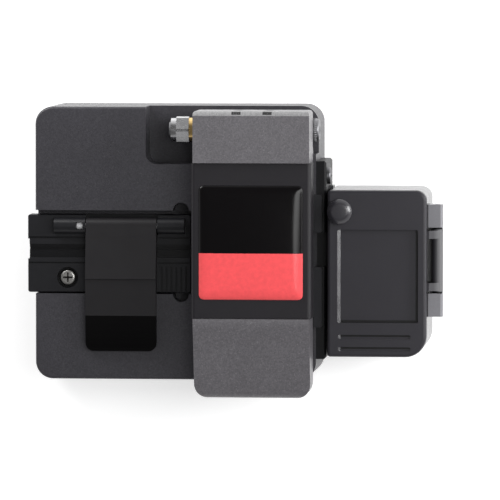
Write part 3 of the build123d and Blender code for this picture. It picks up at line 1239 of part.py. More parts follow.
NODES = {
    "base_casting": base_casting,
    "bottom_plate": bottom_plate,
    "bottom_screws": bottom_screws,
    "rubber_feet": rubber_feet,
    "rim_keeper": keeper,
    "rim_bumpers": bumpers,
    "fixture_plate": fixture_plate,
    "fixture_screws": fixture_screws,
    "fixture_keeper": fixture_keeper,
    "flap": flap,
    "flap_tab": flap_tab,
    "flap_pad": flap_pad,
    "flap_magnet": flap_magnet,
    "flap_pin": flap_pin,
    "slide_rail": slide_rail,
    "rail_screws": rail_screws,
    "carriage": carriage,
    "carriage_caps": carriage_caps,
    "blade_holder": blade_holder,
    "holder_screws": holder_screws,
    "blade_wheel": blade_wheel,
    "blade_screw": blade_screw,
    "push_pad": push_pad,
    "push_screw": push_screw,
    "lower_clamps": lower_clamps,
    "lower_pads": lower_pads,
    "clamp_screws": clamp_screws,
    "upper_clamp": upper_clamp,
    "upper_pads": upper_pads,
    "clamp_posts": clamp_posts,
    "clamp_springs": clamp_springs,
    "anvil": anvil,
    "anvil_nut": anvil_nut,
    "anvil_spring": anvil_spring,
    "cover_body": cover_body,
    "saddle": saddle,
    "label": label,
    "cover_magnet": cover_magnet,
    "back_screws": back_screws,
    "hinge_bushes": hinge_bushes,
    "hinge_bolt": hinge_bolt,
    "hinge_spacer": hinge_spacer,
    "hinge_nut": hinge_nut,
    "collector_bracket": collector_bracket,
    "bracket_screws": bracket_screws,
    "rail_strip": rail_strip,
    "collector_housing": collector_housing,
    "scrap_lid": scrap_lid,
    "lid_pin": lid_pin,
    "roller_shaft_low": lambda: roller_shaft(ROLLER_LOW_Z),
    "roller_sleeve_low": lambda: roller_sleeve(ROLLER_LOW_Z),
    "roller_shaft_high": lambda: roller_shaft(ROLLER_HIGH_Z),
    "roller_sleeve_high": lambda: roller_sleeve(ROLLER_HIGH_Z),
    "lid_button": lid_button,
    "button_clip": button_clip,
    "button_spring": button_spring,
}


def save_all():
    """Write one STEP file for each piece, moved to the part's own origin."""
    os.makedirs("parts", exist_ok=True)
    home = Location((SHIFT_X, SHIFT_Y, 0))
    for name, make in NODES.items():
        shape = make()
        pieces = shape if isinstance(shape, list) else [shape]
        solids = [solid.moved(home) for piece in pieces for solid in piece.solids()]
        whole = Compound(solids) if len(solids) > 1 else solids[0]
        whole.label = name
        export_step(whole, "parts/" + name + ".step")


save_all()
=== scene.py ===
import math

import bmesh
import bpy
from mathutils import Matrix, Vector


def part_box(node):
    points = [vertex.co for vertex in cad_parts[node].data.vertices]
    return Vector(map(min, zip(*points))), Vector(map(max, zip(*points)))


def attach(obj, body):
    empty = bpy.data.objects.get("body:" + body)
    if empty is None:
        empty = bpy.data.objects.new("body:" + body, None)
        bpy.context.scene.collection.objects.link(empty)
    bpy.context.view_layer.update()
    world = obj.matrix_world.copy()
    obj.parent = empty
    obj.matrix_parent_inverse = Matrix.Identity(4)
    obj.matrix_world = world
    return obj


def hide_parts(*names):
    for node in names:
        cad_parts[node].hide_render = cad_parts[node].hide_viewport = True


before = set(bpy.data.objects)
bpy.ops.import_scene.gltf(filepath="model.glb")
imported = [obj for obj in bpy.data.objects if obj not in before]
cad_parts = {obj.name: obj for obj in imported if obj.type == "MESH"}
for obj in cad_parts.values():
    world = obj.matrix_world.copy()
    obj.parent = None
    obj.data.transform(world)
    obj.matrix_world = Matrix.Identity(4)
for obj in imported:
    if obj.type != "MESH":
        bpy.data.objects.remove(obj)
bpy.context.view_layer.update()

bl_info = {
    "name": "Fibre Cleaver Dressing",
    "version": (1, 0, 0),
    "blender": (4, 5, 0),
    "location": "View3D > Sidebar > Cleaver",
    "description": "Finishes, label, knurls and studio for a bench fibre cleaver",
    "category": "Object",
}

MM = 0.001


# settings

class CleaverPaintSettings(bpy.types.PropertyGroup):
    """Colours and grain of the painted castings and mouldings."""
    base_colour: bpy.props.FloatVectorProperty(
        name="Base paint", description="Textured paint of the base casting",
        subtype="COLOR", size=3, min=0, max=1, default=(0.0345, 0.0330, 0.0395))
    cover_colour: bpy.props.FloatVectorProperty(
        name="Cover paint", description="Sparkle paint of the cover",
        subtype="COLOR", size=3, min=0, max=1, default=(0.118, 0.112, 0.122))
    fleck_colour: bpy.props.FloatVectorProperty(
        name="Flecks", description="Pale flecks in the sparkle paint",
        subtype="COLOR", size=3, min=0, max=1, default=(0.215, 0.205, 0.222))
    saddle_colour: bpy.props.FloatVectorProperty(
        name="Saddle", description="Satin cap over the cover",
        subtype="COLOR", size=3, min=0, max=1, default=(0.0165, 0.0150, 0.0180))
    lid_colour: bpy.props.FloatVectorProperty(
        name="Collector lid", description="Moulded lid of the scrap collector",
        subtype="COLOR", size=3, min=0, max=1, default=(0.0270, 0.0255, 0.0315))
    bin_colour: bpy.props.FloatVectorProperty(
        name="Collector bin", description="Moulded body of the scrap collector",
        subtype="COLOR", size=3, min=0, max=1, default=(0.030, 0.030, 0.033))
    grain_size: bpy.props.FloatProperty(
        name="Grain size", description="Size of the paint's grain",
        unit="LENGTH", min=0.0001, max=0.002, default=0.00034)


class CleaverLabelSettings(bpy.types.PropertyGroup):
    """Domed plate on the saddle."""
    dark_colour: bpy.props.FloatVectorProperty(
        name="Dark field", description="Upper field of the plate",
        subtype="COLOR", size=3, min=0, max=1, default=(0.0024, 0.0018, 0.0022))
    band_colour: bpy.props.FloatVectorProperty(
        name="Band", description="Coloured band at the plate's front",
        subtype="COLOR", size=3, min=0, max=1, default=(0.96, 0.105, 0.115))
    band_share: bpy.props.FloatProperty(
        name="Band share", description="Share of the plate's length that the band takes",
        subtype="FACTOR", min=0, max=1, default=0.408)
    dome: bpy.props.FloatProperty(
        name="Dome", description="Height of the gel's crown over its edge",
        unit="LENGTH", min=0.0, max=0.002, default=0.00050)


class CleaverStageSettings(bpy.types.PropertyGroup):
    """Camera and light."""
    field: bpy.props.FloatProperty(
        name="Field", description="Width of the picture at the base's top",
        unit="LENGTH", min=0.05, max=1, default=0.1312)
    distance: bpy.props.FloatProperty(
        name="Distance", description="Camera's distance",
        unit="LENGTH", min=0.2, max=5, default=1.5)
    lean_right: bpy.props.FloatProperty(
        name="Lean right", description="Camera's lean towards the collector",
        subtype="ANGLE", min=-1, max=1, default=math.radians(5.15))
    lean_back: bpy.props.FloatProperty(
        name="Lean back", description="Camera's lean towards the hinge",
        subtype="ANGLE", min=-1, max=1, default=math.radians(3.3))


# node helpers

def shader_group(name, inputs, outputs):
    """Empty shader group with the named sockets."""
    tree = bpy.data.node_groups.new(name, "ShaderNodeTree")
    for label, kind, value in inputs:
        socket = tree.interface.new_socket(name=label, in_out="INPUT", socket_type=kind)
        if value is not None:
            socket.default_value = value
    for label, kind in outputs:
        tree.interface.new_socket(name=label, in_out="OUTPUT", socket_type=kind)
    return tree, tree.nodes.new("NodeGroupInput"), tree.nodes.new("NodeGroupOutput")


def node(tree, kind, values=None, **attributes):
    """New node with its attributes and its sockets' values."""
    made = tree.nodes.new(kind)
    for name, value in attributes.items():
        setattr(made, name, value)
    for name, value in (values or {}).items():
        made.inputs[name].default_value = value
    return made


def maths(tree, operation, *values, clamp=False):
    """Maths node fed by sockets or numbers; returns its output."""
    made = node(tree, "ShaderNodeMath", operation=operation, use_clamp=clamp)
    for index, value in enumerate(values):
        if isinstance(value, bpy.types.NodeSocket):
            tree.links.new(value, made.inputs[index])
        else:
            made.inputs[index].default_value = value
    return made.outputs[0]


def blend_colours(tree, factor, a, b, blend_type="MIX"):
    """Colour mix fed by sockets or colours; returns its output."""
    made = node(tree, "ShaderNodeMix", data_type="RGBA", blend_type=blend_type)
    for index, value in ((0, factor), (6, a), (7, b)):
        if isinstance(value, bpy.types.NodeSocket):
            tree.links.new(value, made.inputs[index])
        elif index == 0:
            made.inputs[0].default_value = value
        else:
            made.inputs[index].default_value = (*value[:3], 1)
    return made.outputs[2]


def shaded(tree, colour, tone):
    """Colour multiplied by a grey tone; returns its output."""
    grey = node(tree, "ShaderNodeCombineColor")
    for channel in grey.inputs[:3]:
        tree.links.new(tone, channel)
    return blend_colours(tree, 1.0, colour, grey.outputs[0], "MULTIPLY")


def noise(tree, vector, scale, detail=3.0, roughness=0.5):
    """Noise on a vector; returns its value."""
    made = node(tree, "ShaderNodeTexNoise",
                {"Scale": scale, "Detail": detail, "Roughness": roughness})
    tree.links.new(vector, made.inputs["Vector"])
    return made.outputs[0]


def build_sparkle_group():
    """Textured paint: a pebbled grain with pale and dark flecks."""
    tree, gin, gout = shader_group(
        "Sparkle Paint",
        [("Vector", "NodeSocketVector", None), ("Colour", "NodeSocketColor", (0.1, 0.1, 0.1, 1)),
         ("Fleck Colour", "NodeSocketColor", (0.3, 0.3, 0.3, 1)),
         ("Fleck Share", "NodeSocketFloat", 0.12), ("Grain Per Metre", "NodeSocketFloat", 2400.0),
         ("Roughness", "NodeSocketFloat", 0.5)],
        [("Colour", "NodeSocketColor"), ("Roughness", "NodeSocketFloat"),
         ("Height", "NodeSocketFloat")])
    link = tree.links.new
    cells = node(tree, "ShaderNodeTexVoronoi", feature="F1")
    link(gin.outputs["Vector"], cells.inputs["Vector"])
    link(gin.outputs["Grain Per Metre"], cells.inputs["Scale"])
    split = node(tree, "ShaderNodeSeparateColor")
    link(cells.outputs["Color"], split.inputs[0])
    threshold = maths(tree, "SUBTRACT", 1.0, gin.outputs["Fleck Share"])
    fleck = maths(tree, "GREATER_THAN", split.outputs[0], threshold)
    strength = maths(tree, "MULTIPLY", fleck, split.outputs[1])
    wide = maths(tree, "MULTIPLY", cells.outputs["Distance"], 1.5)
    core = maths(tree, "SUBTRACT", 1.0, wide, clamp=True)
    pale = maths(tree, "MULTIPLY", strength, core, clamp=True)
    tone = maths(tree, "MULTIPLY_ADD", split.outputs[2], 0.34, 0.83)
    cloud = maths(tree, "MULTIPLY_ADD", noise(tree, gin.outputs["Vector"], 90.0, 4.0), 0.24, 0.88)
    body = shaded(tree, gin.outputs["Colour"], maths(tree, "MULTIPLY", tone, cloud))
    link(blend_colours(tree, pale, body, gin.outputs["Fleck Colour"]), gout.inputs["Colour"])
    spread = maths(tree, "MULTIPLY_ADD", split.outputs[1], 0.12, -0.06)
    link(maths(tree, "ADD", gin.outputs["Roughness"], spread, clamp=True),
         gout.inputs["Roughness"])
    pebble = noise(tree, gin.outputs["Vector"], 1500.0, 2.0)
    dome = maths(tree, "SUBTRACT", 1.0, cells.outputs["Distance"])
    link(maths(tree, "MULTIPLY", maths(tree, "ADD", dome, pebble), 0.5), gout.inputs["Height"])
    return tree


def build_moulded_group():
    """Satin moulding or anodised face: fine grain, faint clouding and handling marks."""
    tree, gin, gout = shader_group(
        "Moulded Grain",
        [("Vector", "NodeSocketVector", None), ("Colour", "NodeSocketColor", (0.05, 0.05, 0.05, 1)),
         ("Grain Per Metre", "NodeSocketFloat", 3500.0), ("Roughness", "NodeSocketFloat", 0.45),
         ("Clouding", "NodeSocketFloat", 0.2)],
        [("Colour", "NodeSocketColor"), ("Roughness", "NodeSocketFloat"),
         ("Height", "NodeSocketFloat")])
    link = tree.links.new
    fine = node(tree, "ShaderNodeTexNoise", {"Detail": 2.0, "Roughness": 0.6})
    link(gin.outputs["Vector"], fine.inputs["Vector"])
    link(gin.outputs["Grain Per Metre"], fine.inputs["Scale"])
    cloud = noise(tree, gin.outputs["Vector"], 70.0, 5.0, 0.6)
    centred = maths(tree, "SUBTRACT", cloud, 0.5)
    shade = maths(tree, "MULTIPLY", centred, gin.outputs["Clouding"])
    grain = maths(tree, "MULTIPLY", maths(tree, "SUBTRACT", fine.outputs[0], 0.5), 0.25)
    tone = maths(tree, "ADD", maths(tree, "ADD", shade, grain), 1.0)
    link(shaded(tree, gin.outputs["Colour"], tone), gout.inputs["Colour"])
    marks = noise(tree, gin.outputs["Vector"], 260.0, 6.0, 0.75)
    lift = maths(tree, "MULTIPLY", maths(tree, "SUBTRACT", marks, 0.5), 0.22)
    link(maths(tree, "ADD", gin.outputs["Roughness"], lift, clamp=True), gout.inputs["Roughness"])
    link(fine.outputs[0], gout.inputs["Height"])
    return tree


def build_lathe_group():
    """Machined metal: fine parallel lines across one axis, with faint stains."""
    tree, gin, gout = shader_group(
        "Machined Lines",
        [("Vector", "NodeSocketVector", None), ("Colour", "NodeSocketColor", (0.5, 0.5, 0.5, 1)),
         ("Line Spread", "NodeSocketVector", (9000.0, 400.0, 9000.0)),
         ("Roughness", "NodeSocketFloat", 0.25), ("Stain", "NodeSocketFloat", 0.25)],
        [("Colour", "NodeSocketColor"), ("Roughness", "NodeSocketFloat"),
         ("Height", "NodeSocketFloat")])
    link = tree.links.new
    scaled = node(tree, "ShaderNodeVectorMath", operation="MULTIPLY")
    link(gin.outputs["Vector"], scaled.inputs[0])
    link(gin.outputs["Line Spread"], scaled.inputs[1])
    lines = noise(tree, scaled.outputs[0], 1.0, 2.0)
    stains = noise(tree, gin.outputs["Vector"], 350.0, 5.0, 0.65)
    dark = maths(tree, "MULTIPLY", maths(tree, "SUBTRACT", 0.62, stains), gin.outputs["Stain"])
    tone = maths(tree, "SUBTRACT", 1.0, maths(tree, "MAXIMUM", dark, 0.0))
    link(shaded(tree, gin.outputs["Colour"], tone), gout.inputs["Colour"])
    rough = maths(tree, "MULTIPLY", maths(tree, "SUBTRACT", lines, 0.5), 0.25)
    link(maths(tree, "ADD", gin.outputs["Roughness"], rough, clamp=True), gout.inputs["Roughness"])
    link(lines, gout.inputs["Height"])
    return tree


BUILDERS = {"sparkle": build_sparkle_group, "moulded": build_moulded_group,
            "lathe": build_lathe_group}
GROUPS = {}


def group(name):
    """Shared shader group, built the first time it is asked for."""
    if name not in GROUPS:
        GROUPS[name] = BUILDERS[name]()
    return GROUPS[name]


def finish_material(name, effect, colour, values, shader=None, bump=0.1, depth=0.00002):
    """Material whose colour, roughness and relief come from a shared effect."""
    material = bpy.data.materials.new(name)
    material.use_nodes = True
    tree = material.node_tree
    principled = tree.nodes["Principled BSDF"]
    for socket, value in (shader or {}).items():
        principled.inputs[socket].default_value = value
    place = node(tree, "ShaderNodeTexCoord")
    made = node(tree, "ShaderNodeGroup", node_tree=group(effect))
    made.inputs["Colour"].default_value = (*colour, 1)
    for socket, value in values.items():
        made.inputs[socket].default_value = value
    link = tree.links.new
    link(place.outputs["Object"], made.inputs["Vector"])
    link(made.outputs["Colour"], principled.inputs["Base Color"])
    link(made.outputs["Roughness"], principled.inputs["Roughness"])
    if bump > 0:
        relief = node(tree, "ShaderNodeBump", {"Strength": bump, "Distance": depth})
        link(made.outputs["Height"], relief.inputs["Height"])
        link(relief.outputs["Normal"], principled.inputs["Normal"])
    return material


def colour_split(material, mask, colour):
    """Second colour of a material's effect wherever the mask is 1."""
    tree = material.node_tree
    effect = next(n for n in tree.nodes if n.bl_idname == "ShaderNodeGroup")
    slot = effect.inputs["Colour"]
    first = slot.links[0].from_socket if slot.is_linked else tuple(slot.default_value)
    tree.links.new(blend_colours(tree, mask, first, colour), slot)


def object_place(material):
    """Socket with the place of a point of the object."""
    nodes = material.node_tree.nodes
    return next(n for n in nodes if n.bl_idname == "ShaderNodeTexCoord").outputs["Object"]


def place_axes(material):
    """Sockets with the X, Y and Z of a point of the object, for masks."""
    split = node(material.node_tree, "ShaderNodeSeparateXYZ")
    material.node_tree.links.new(object_place(material), split.inputs[0])
    return split.outputs


def paint_shade_below(material, level, colour):
    """Painted shade below a height, in grooves and recesses."""
    height = place_axes(material)[2]
    colour_split(material, maths(material.node_tree, "LESS_THAN", height, level), colour)


def between(tree, value, start, stop):
    """1 where the value lies between two numbers."""
    return maths(tree, "COMPARE", value, (start + stop) / 2, (stop - start) / 2)


def coat_nodes(names, material):
    """Gives CAD nodes a material."""
    for name in names:
        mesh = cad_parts[name].data
        mesh.materials.clear()
        mesh.materials.append(material)


def dress(mesh_object, body, slot, *replaced):
    """Finished piece: smoothed, hung on the body it moves with, and standing for the nodes it
    hides; the slot is not used.
    """
    for face in mesh_object.data.polygons:
        face.use_smooth = True
    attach(mesh_object, body)
    for name in replaced:
        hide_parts(name)


def linked_object(name, data):
    """Object at the origin, linked to the scene."""
    made = bpy.data.objects.new(name, data)
    bpy.context.scene.collection.objects.link(made)
    return made


def new_mesh_object(name, vertices, faces, material):
    """Object at the origin with its place in its mesh."""
    mesh = bpy.data.meshes.new(name)
    mesh.from_pydata(vertices, [], faces)
    mesh.validate()
    mesh.materials.append(material)
    return linked_object(name, mesh)


# pieces

class CLEAVER_OT_castings(bpy.types.Operator):
    """Flecked paint on the base and the cover, black anodised plate underneath"""
    bl_idname = "cleaver.castings"
    bl_label = "Paint the castings"

    def execute(self, context):
        paint = context.scene.cleaver_paint
        grain = 1.0 / paint.grain_size
        base = finish_material(
            "base_paint", "sparkle", paint.base_colour,
            {"Fleck Colour": (0.06, 0.06, 0.063, 1), "Fleck Share": 0.16, "Grain Per Metre": grain,
             "Roughness": 0.46},
            {"Specular IOR Level": 0.38, "Coat Weight": 0.16, "Coat Roughness": 0.22},
            bump=0.35, depth=0.00006)
        cover = finish_material(
            "cover_paint", "sparkle", paint.cover_colour,
            {"Fleck Colour": (*paint.fleck_colour, 1), "Fleck Share": 0.22,
             "Grain Per Metre": grain, "Roughness": 0.46},
            {"Coat Weight": 0.30, "Coat Roughness": 0.20}, bump=0.45, depth=0.00007)
        plate = finish_material(
            "bottom_plate_anodised", "moulded", (0.022, 0.022, 0.024),
            {"Roughness": 0.42, "Clouding": 0.3}, {"Metallic": 0.6}, bump=0.06)
        self.paint_back_edge_light_and_shade(cover)
        coat_nodes(["base_casting"], base)
        coat_nodes(["cover_body"], cover)
        coat_nodes(["bottom_plate"], plate)
        return {"FINISHED"}

    @staticmethod
    def paint_back_edge_light_and_shade(material):
        """Painted highlight along the cover's back edge, with painted shade for the mouths of its
        two screw recesses.
        """
        tree = material.node_tree
        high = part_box("cover_body")[1]
        screw_low, screw_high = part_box("back_screws")
        screw_radius = (screw_high.z - screw_low.z) / 2
        edge_width, edge_drop = 1.25 * MM, 1.5 * MM
        mouth_half, mouth_inner, mouth_outer = 1.2 * MM, 0.95 * MM, 0.15 * MM
        across, along, height = place_axes(material)
        edge = maths(tree, "MULTIPLY",
                     maths(tree, "GREATER_THAN", along, high.y - edge_width),
                     maths(tree, "GREATER_THAN", height, high.z - edge_drop))
        # Painted highlight: a paler band where the back edge's rounding catches the light.
        colour_split(material, edge, (0.270, 0.268, 0.272))
        mouths = maths(tree, "MAXIMUM", *(
            between(tree, across, x - mouth_half, x + mouth_half)
            for x in (screw_low.x + screw_radius, screw_high.x - screw_radius)))
        outer = between(tree, along, high.y - mouth_inner, high.y - mouth_outer)
        dark = maths(tree, "MULTIPLY", maths(tree, "MULTIPLY", edge, mouths), outer)
        # Painted shade: dark marks for the screw recesses' mouths on the edge.
        colour_split(material, dark, (0.0050, 0.0045, 0.0050))


class CLEAVER_OT_mouldings(bpy.types.Operator):
    """Satin mouldings: saddle, flap and tab, collector and lid, strip, push pad, end caps"""
    bl_idname = "cleaver.mouldings"
    bl_label = "Finish the mouldings"

    def execute(self, context):
        paint = context.scene.cleaver_paint
        table = (
            ("saddle_satin", ["saddle"], paint.saddle_colour, 0.40, 0.28, 0.25, 0.05),
            ("flap_satin", ["flap"], (0.0125, 0.0115, 0.0130), 0.46, 0.28, 0.30, 0.05),
            # The tab's colour, far darker than the flap's, is painted shade of its front-facing
            # slope.
            ("tab_satin", ["flap_tab"], (0.0016, 0.0014, 0.0016), 0.60, 0.06, 0.30, 0.04),
            ("lid_satin", ["scrap_lid"], paint.lid_colour, 0.38, 0.38, 0.22, 0.05),
            ("bin_satin", ["collector_housing"], paint.bin_colour, 0.20, 0.60, 0.30, 0.04),
            ("strip_satin", ["rail_strip"], (0.0140, 0.0140, 0.0165), 0.38, 0.25, 0.25, 0.05),
            ("push_satin", ["push_pad", "carriage_caps"], (0.016, 0.016, 0.018), 0.45, 0.40, 0.3,
             0.08),
        )
        for name, nodes, colour, roughness, shine, clouding, bump in table:
            coat_nodes(nodes, finish_material(
                name, "moulded", colour, {"Roughness": roughness, "Clouding": clouding},
                {"Specular IOR Level": shine}, bump=bump))
        self.paint_lug_light(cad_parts["collector_housing"].data.materials[0])
        self.paint_barrel_light(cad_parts["scrap_lid"].data.materials[0])
        self.paint_recess_shade(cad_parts["scrap_lid"].data.materials[0])
        return {"FINISHED"}

    @staticmethod
    def paint_recess_shade(material):
        """Painted shade in the corners of the lid's panel, on its right and front, and in its grip
        grooves.
        """
        tree = material.node_tree
        low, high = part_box("scrap_lid")
        rim_drop = 0.3 * MM
        left, right, front = 2.0 * MM, 24.2 * MM, 1.3 * MM
        panel_corner = 23.10 * MM
        rows = ((2.10, 2.75), (5.30, 5.95), (8.90, 9.65))
        across, along, height = place_axes(material)
        sunken = maths(tree, "LESS_THAN", height, high.z - rim_drop)
        inside = maths(tree, "MULTIPLY",
                       between(tree, across, low.x + left, low.x + right),
                       maths(tree, "GREATER_THAN", along, low.y + front))
        edge = maths(tree, "GREATER_THAN", across, low.x + panel_corner)
        for start, stop in rows:
            row = between(tree, along, low.y + start * MM, low.y + stop * MM)
            edge = maths(tree, "MAXIMUM", edge, row)
        line = maths(tree, "MULTIPLY", maths(tree, "MULTIPLY", sunken, inside), edge)
        # Painted shade: dark colour on the sunken floors along the panel's right and front edges
        # and in the grooves.
        colour_split(material, line, (0.0030, 0.0028, 0.0034))

    @staticmethod
    def paint_barrel_light(material):
        """Painted highlight: colour ramping paler towards the outer side of the lid's hinge barrel.
        """
        tree = material.node_tree
        pin_low, pin_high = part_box("lid_pin")
        middle = (pin_low.x + pin_high.x) / 2
        inner, outer = 0.9 * MM, 1.0 * MM
        light_ramp = node(tree, "ShaderNodeMapRange",
                   {"From Min": middle - inner, "From Max": middle + outer})
        tree.links.new(place_axes(material)[0], light_ramp.inputs["Value"])
        # Painted highlight on the barrel's outer side, standing in for the light falling on it.
        colour_split(material, light_ramp.outputs[0], (0.150, 0.149, 0.155))

    @staticmethod
    def paint_lug_light(material):
        """Painted light: paler faces on the two hinge lugs beside the bin's wall."""
        tree = material.node_tree
        pin_low, pin_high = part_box("lid_pin")
        wall_gap, lug_width = 1.6 * MM, 6.2 * MM
        across, along, _ = place_axes(material)
        beyond = maths(tree, "GREATER_THAN", across, pin_low.x - wall_gap)
        middle = (pin_low.y + pin_high.y) / 2
        apart = maths(tree, "ABSOLUTE", maths(tree, "SUBTRACT", along, middle))
        reach = (pin_high.y - pin_low.y) / 2 - lug_width
        on_lug = maths(tree, "MULTIPLY", beyond, maths(tree, "GREATER_THAN", apart, reach))
        # Painted light: the lugs' faces made paler, as if lit.
        colour_split(material, on_lug, (0.235, 0.233, 0.250))


class CLEAVER_OT_anodised(bpy.types.Operator):
    """Black anodised metal: fixture plate and the collector's bracket"""
    bl_idname = "cleaver.anodised"
    bl_label = "Anodise the plates"

    def execute(self, context):
        plate = finish_material(
            "fixture_anodised", "lathe", (0.0120, 0.0120, 0.0140),
            {"Line Spread": (500.0, 7000.0, 7000.0), "Roughness": 0.36, "Stain": 0.3},
            {"Specular IOR Level": 0.30}, bump=0.10)
        knuckle_rise, groove_start = 2.5 * MM, 0.12 * MM
        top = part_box("fixture_plate")[1].z - knuckle_rise
        # Painted shade on the plate's faces below the ridges' tops, in its grooves.
        paint_shade_below(plate, top - groove_start, (0.0030, 0.0030, 0.0040))
        bracket = finish_material(
            "bracket_anodised", "moulded", (0.0050, 0.0050, 0.0060),
            {"Roughness": 0.42, "Clouding": 0.3}, {"Specular IOR Level": 0.20}, bump=0.06)
        coat_nodes(["fixture_plate"], plate)
        coat_nodes(["collector_bracket"], bracket)
        return {"FINISHED"}


class CLEAVER_OT_metalwork(bpy.types.Operator):
    """Screws, pins, nut, bushes, blocks, rail and blade"""
    bl_idname = "cleaver.metalwork"
    bl_label = "Finish the metalwork"

    def execute(self, context):
        across = (7000.0, 7000.0, 600.0)
        table = (
            ("recessed_screws", ["fixture_screws"], (0.50, 0.49, 0.47), across, 0.34, 0.6),
            ("zinc_screws", ["bottom_screws", "clamp_screws", "holder_screws",
                             "push_screw", "clamp_posts", "anvil_nut", "button_clip"],
             (0.62, 0.61, 0.59), across, 0.26, 0.5),
            ("bracket_screw_steel", ["bracket_screws"], (0.19, 0.19, 0.20), across, 0.40, 0.5),
            ("flap_pin_steel", ["flap_pin"], (0.92, 0.92, 0.93), across, 0.42, 0.1),
            ("bright_pins", ["lid_pin", "roller_shaft_low", "roller_shaft_high",
                             "clamp_springs", "anvil_spring", "button_spring"],
             (0.74, 0.74, 0.75), (600.0, 7000.0, 7000.0), 0.16, 0.2),
            ("bolt_nickel", ["hinge_bolt"], (0.26, 0.26, 0.27), across, 0.46, 0.5),
            ("nickel_plate", ["hinge_nut", "cover_magnet", "flap_magnet",
                              "rim_keeper", "fixture_keeper"],
             (0.55, 0.55, 0.56), (900.0, 5000.0, 5000.0), 0.24, 0.6),
            ("black_oxide", ["rail_screws", "back_screws", "blade_screw"],
             (0.030, 0.030, 0.032), across, 0.36, 0.3),
            ("ground_steel", ["slide_rail", "carriage", "anvil"],
             (0.52, 0.52, 0.53), (6000.0, 400.0, 6000.0), 0.27, 0.3),
            ("carbide_blade", ["blade_wheel"], (0.38, 0.38, 0.40),
             (500.0, 8000.0, 8000.0), 0.2, 0.3),
            ("turned_brass", ["hinge_bushes", "hinge_spacer"],
             (0.80, 0.56, 0.24), (8000.0, 500.0, 500.0), 0.22, 0.4),
            ("milled_blocks", ["lower_clamps", "upper_clamp", "blade_holder"],
             (0.45, 0.45, 0.46), (5000.0, 500.0, 5000.0), 0.34, 0.3),
        )
        for name, nodes, colour, spread, roughness, stain in table:
            coat_nodes(nodes, finish_material(
                name, "lathe", colour,
                {"Line Spread": spread, "Roughness": roughness, "Stain": stain},
                {"Metallic": 1.0}, bump=0.08))
        crown = 0.5 * MM
        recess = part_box("fixture_screws")[1].z - crown
        # Painted shade on the screw heads below their crowns, in their drives.
        paint_shade_below(bpy.data.materials["recessed_screws"], recess, (0.030, 0.027, 0.025))
        return {"FINISHED"}


class CLEAVER_OT_rubber(bpy.types.Operator):
    """Rubber feet, stops, clamp pads and roller sleeves"""
    bl_idname = "cleaver.rubber"
    bl_label = "Finish the rubber"

    def execute(self, context):
        rubber = finish_material(
            "black_rubber", "moulded", (0.016, 0.016, 0.016),
            {"Roughness": 0.74, "Clouding": 0.35, "Grain Per Metre": 5200.0},
            {"Specular IOR Level": 0.35}, bump=0.12)
        coat_nodes(["rubber_feet", "rim_bumpers", "flap_pad", "lower_pads", "upper_pads",
                    "roller_sleeve_low", "roller_sleeve_high"], rubber)
        return {"FINISHED"}


def label_material(settings, band_y):
    """Clear gel over a dark field and a coloured band."""
    material = finish_material(
        "label_gel", "moulded", settings.dark_colour,
        {"Roughness": 0.22, "Clouding": 0.10, "Grain Per Metre": 900.0},
        {"Specular IOR Level": 0.05, "Coat Weight": 0.42, "Coat Roughness": 0.16,
         "Coat IOR": 1.5}, bump=0)
    tree = material.node_tree
    along = place_axes(material)[1]
    wobble = noise(tree, object_place(material), 900.0, 2.0)
    waver = 0.06 * MM
    edge = maths(tree, "MULTIPLY_ADD", wobble, waver, band_y - waver / 2)
    colour_split(material, maths(tree, "LESS_THAN", along, edge), settings.band_colour)
    return material


class CLEAVER_OT_label(bpy.types.Operator):
    """Domed gel plate on the saddle: a dark field with a coloured band"""
    bl_idname = "cleaver.label"
    bl_label = "Make the label"

    def execute(self, context):
        settings = context.scene.cleaver_label
        low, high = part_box("label")
        half_x = (high.x - low.x) / 2
        half_y = (high.y - low.y) / 2
        centre = (low + high) / 2
        corner = 1.3 * MM
        lip = 3.0 * MM
        rise = high.z - low.z - settings.dome
        gather = 1.7
        count = 57
        middle = (count - 1) // 2
        rows = []
        for j in range(count):
            row = []
            for i in range(count):
                u = (i - middle) / middle
                v = (j - middle) / middle
                ring = max(abs(u), abs(v))
                inset = half_x * (1 - ring) ** gather
                x, y = self.on_ring(u, v, ring, half_x - inset, half_y - inset, corner - inset)
                share = min(inset / lip, 1.0)
                z = low.z + rise * math.sqrt(1 - (1 - share) ** 2)
                z += settings.dome * (1 - (x / half_x) ** 2) * (1 - (y / half_y) ** 2)
                row.append((centre.x + x, centre.y + y, z))
            rows.append(row)
        vertices = [point for row in rows for point in row]
        faces = [(j * count + i, j * count + i + 1, (j + 1) * count + i + 1, (j + 1) * count + i)
                 for j in range(count - 1) for i in range(count - 1)]
        edge = list(range(count)) + [j * count + count - 1 for j in range(1, count)]
        edge += [(count - 1) * count + i for i in range(count - 2, -1, -1)]
        edge += [j * count for j in range(count - 2, 0, -1)]
        faces.append(tuple(reversed(edge)))
        band_y = low.y + (high.y - low.y) * settings.band_share
        plate = new_mesh_object("label_dome", vertices, faces, label_material(settings, band_y))
        dress(plate, "cover", "label_gloss", "label")
        return {"FINISHED"}

    @staticmethod
    def on_ring(u, v, ring, half_x, half_y, corner):
        """Point of a square grid moved on to a rounded rectangle."""
        if ring == 0:
            return 0.0, 0.0
        x = u / ring * half_x
        y = v / ring * half_y
        over_x = abs(x) - (half_x - corner)
        over_y = abs(y) - (half_y - corner)
        if corner > 0 and over_x > 0 and over_y > 0:
            length = math.hypot(over_x, over_y)
            x = math.copysign(half_x - corner + over_x / length * corner, x)
            y = math.copysign(half_y - corner + over_y / length * corner, y)
        return x, y


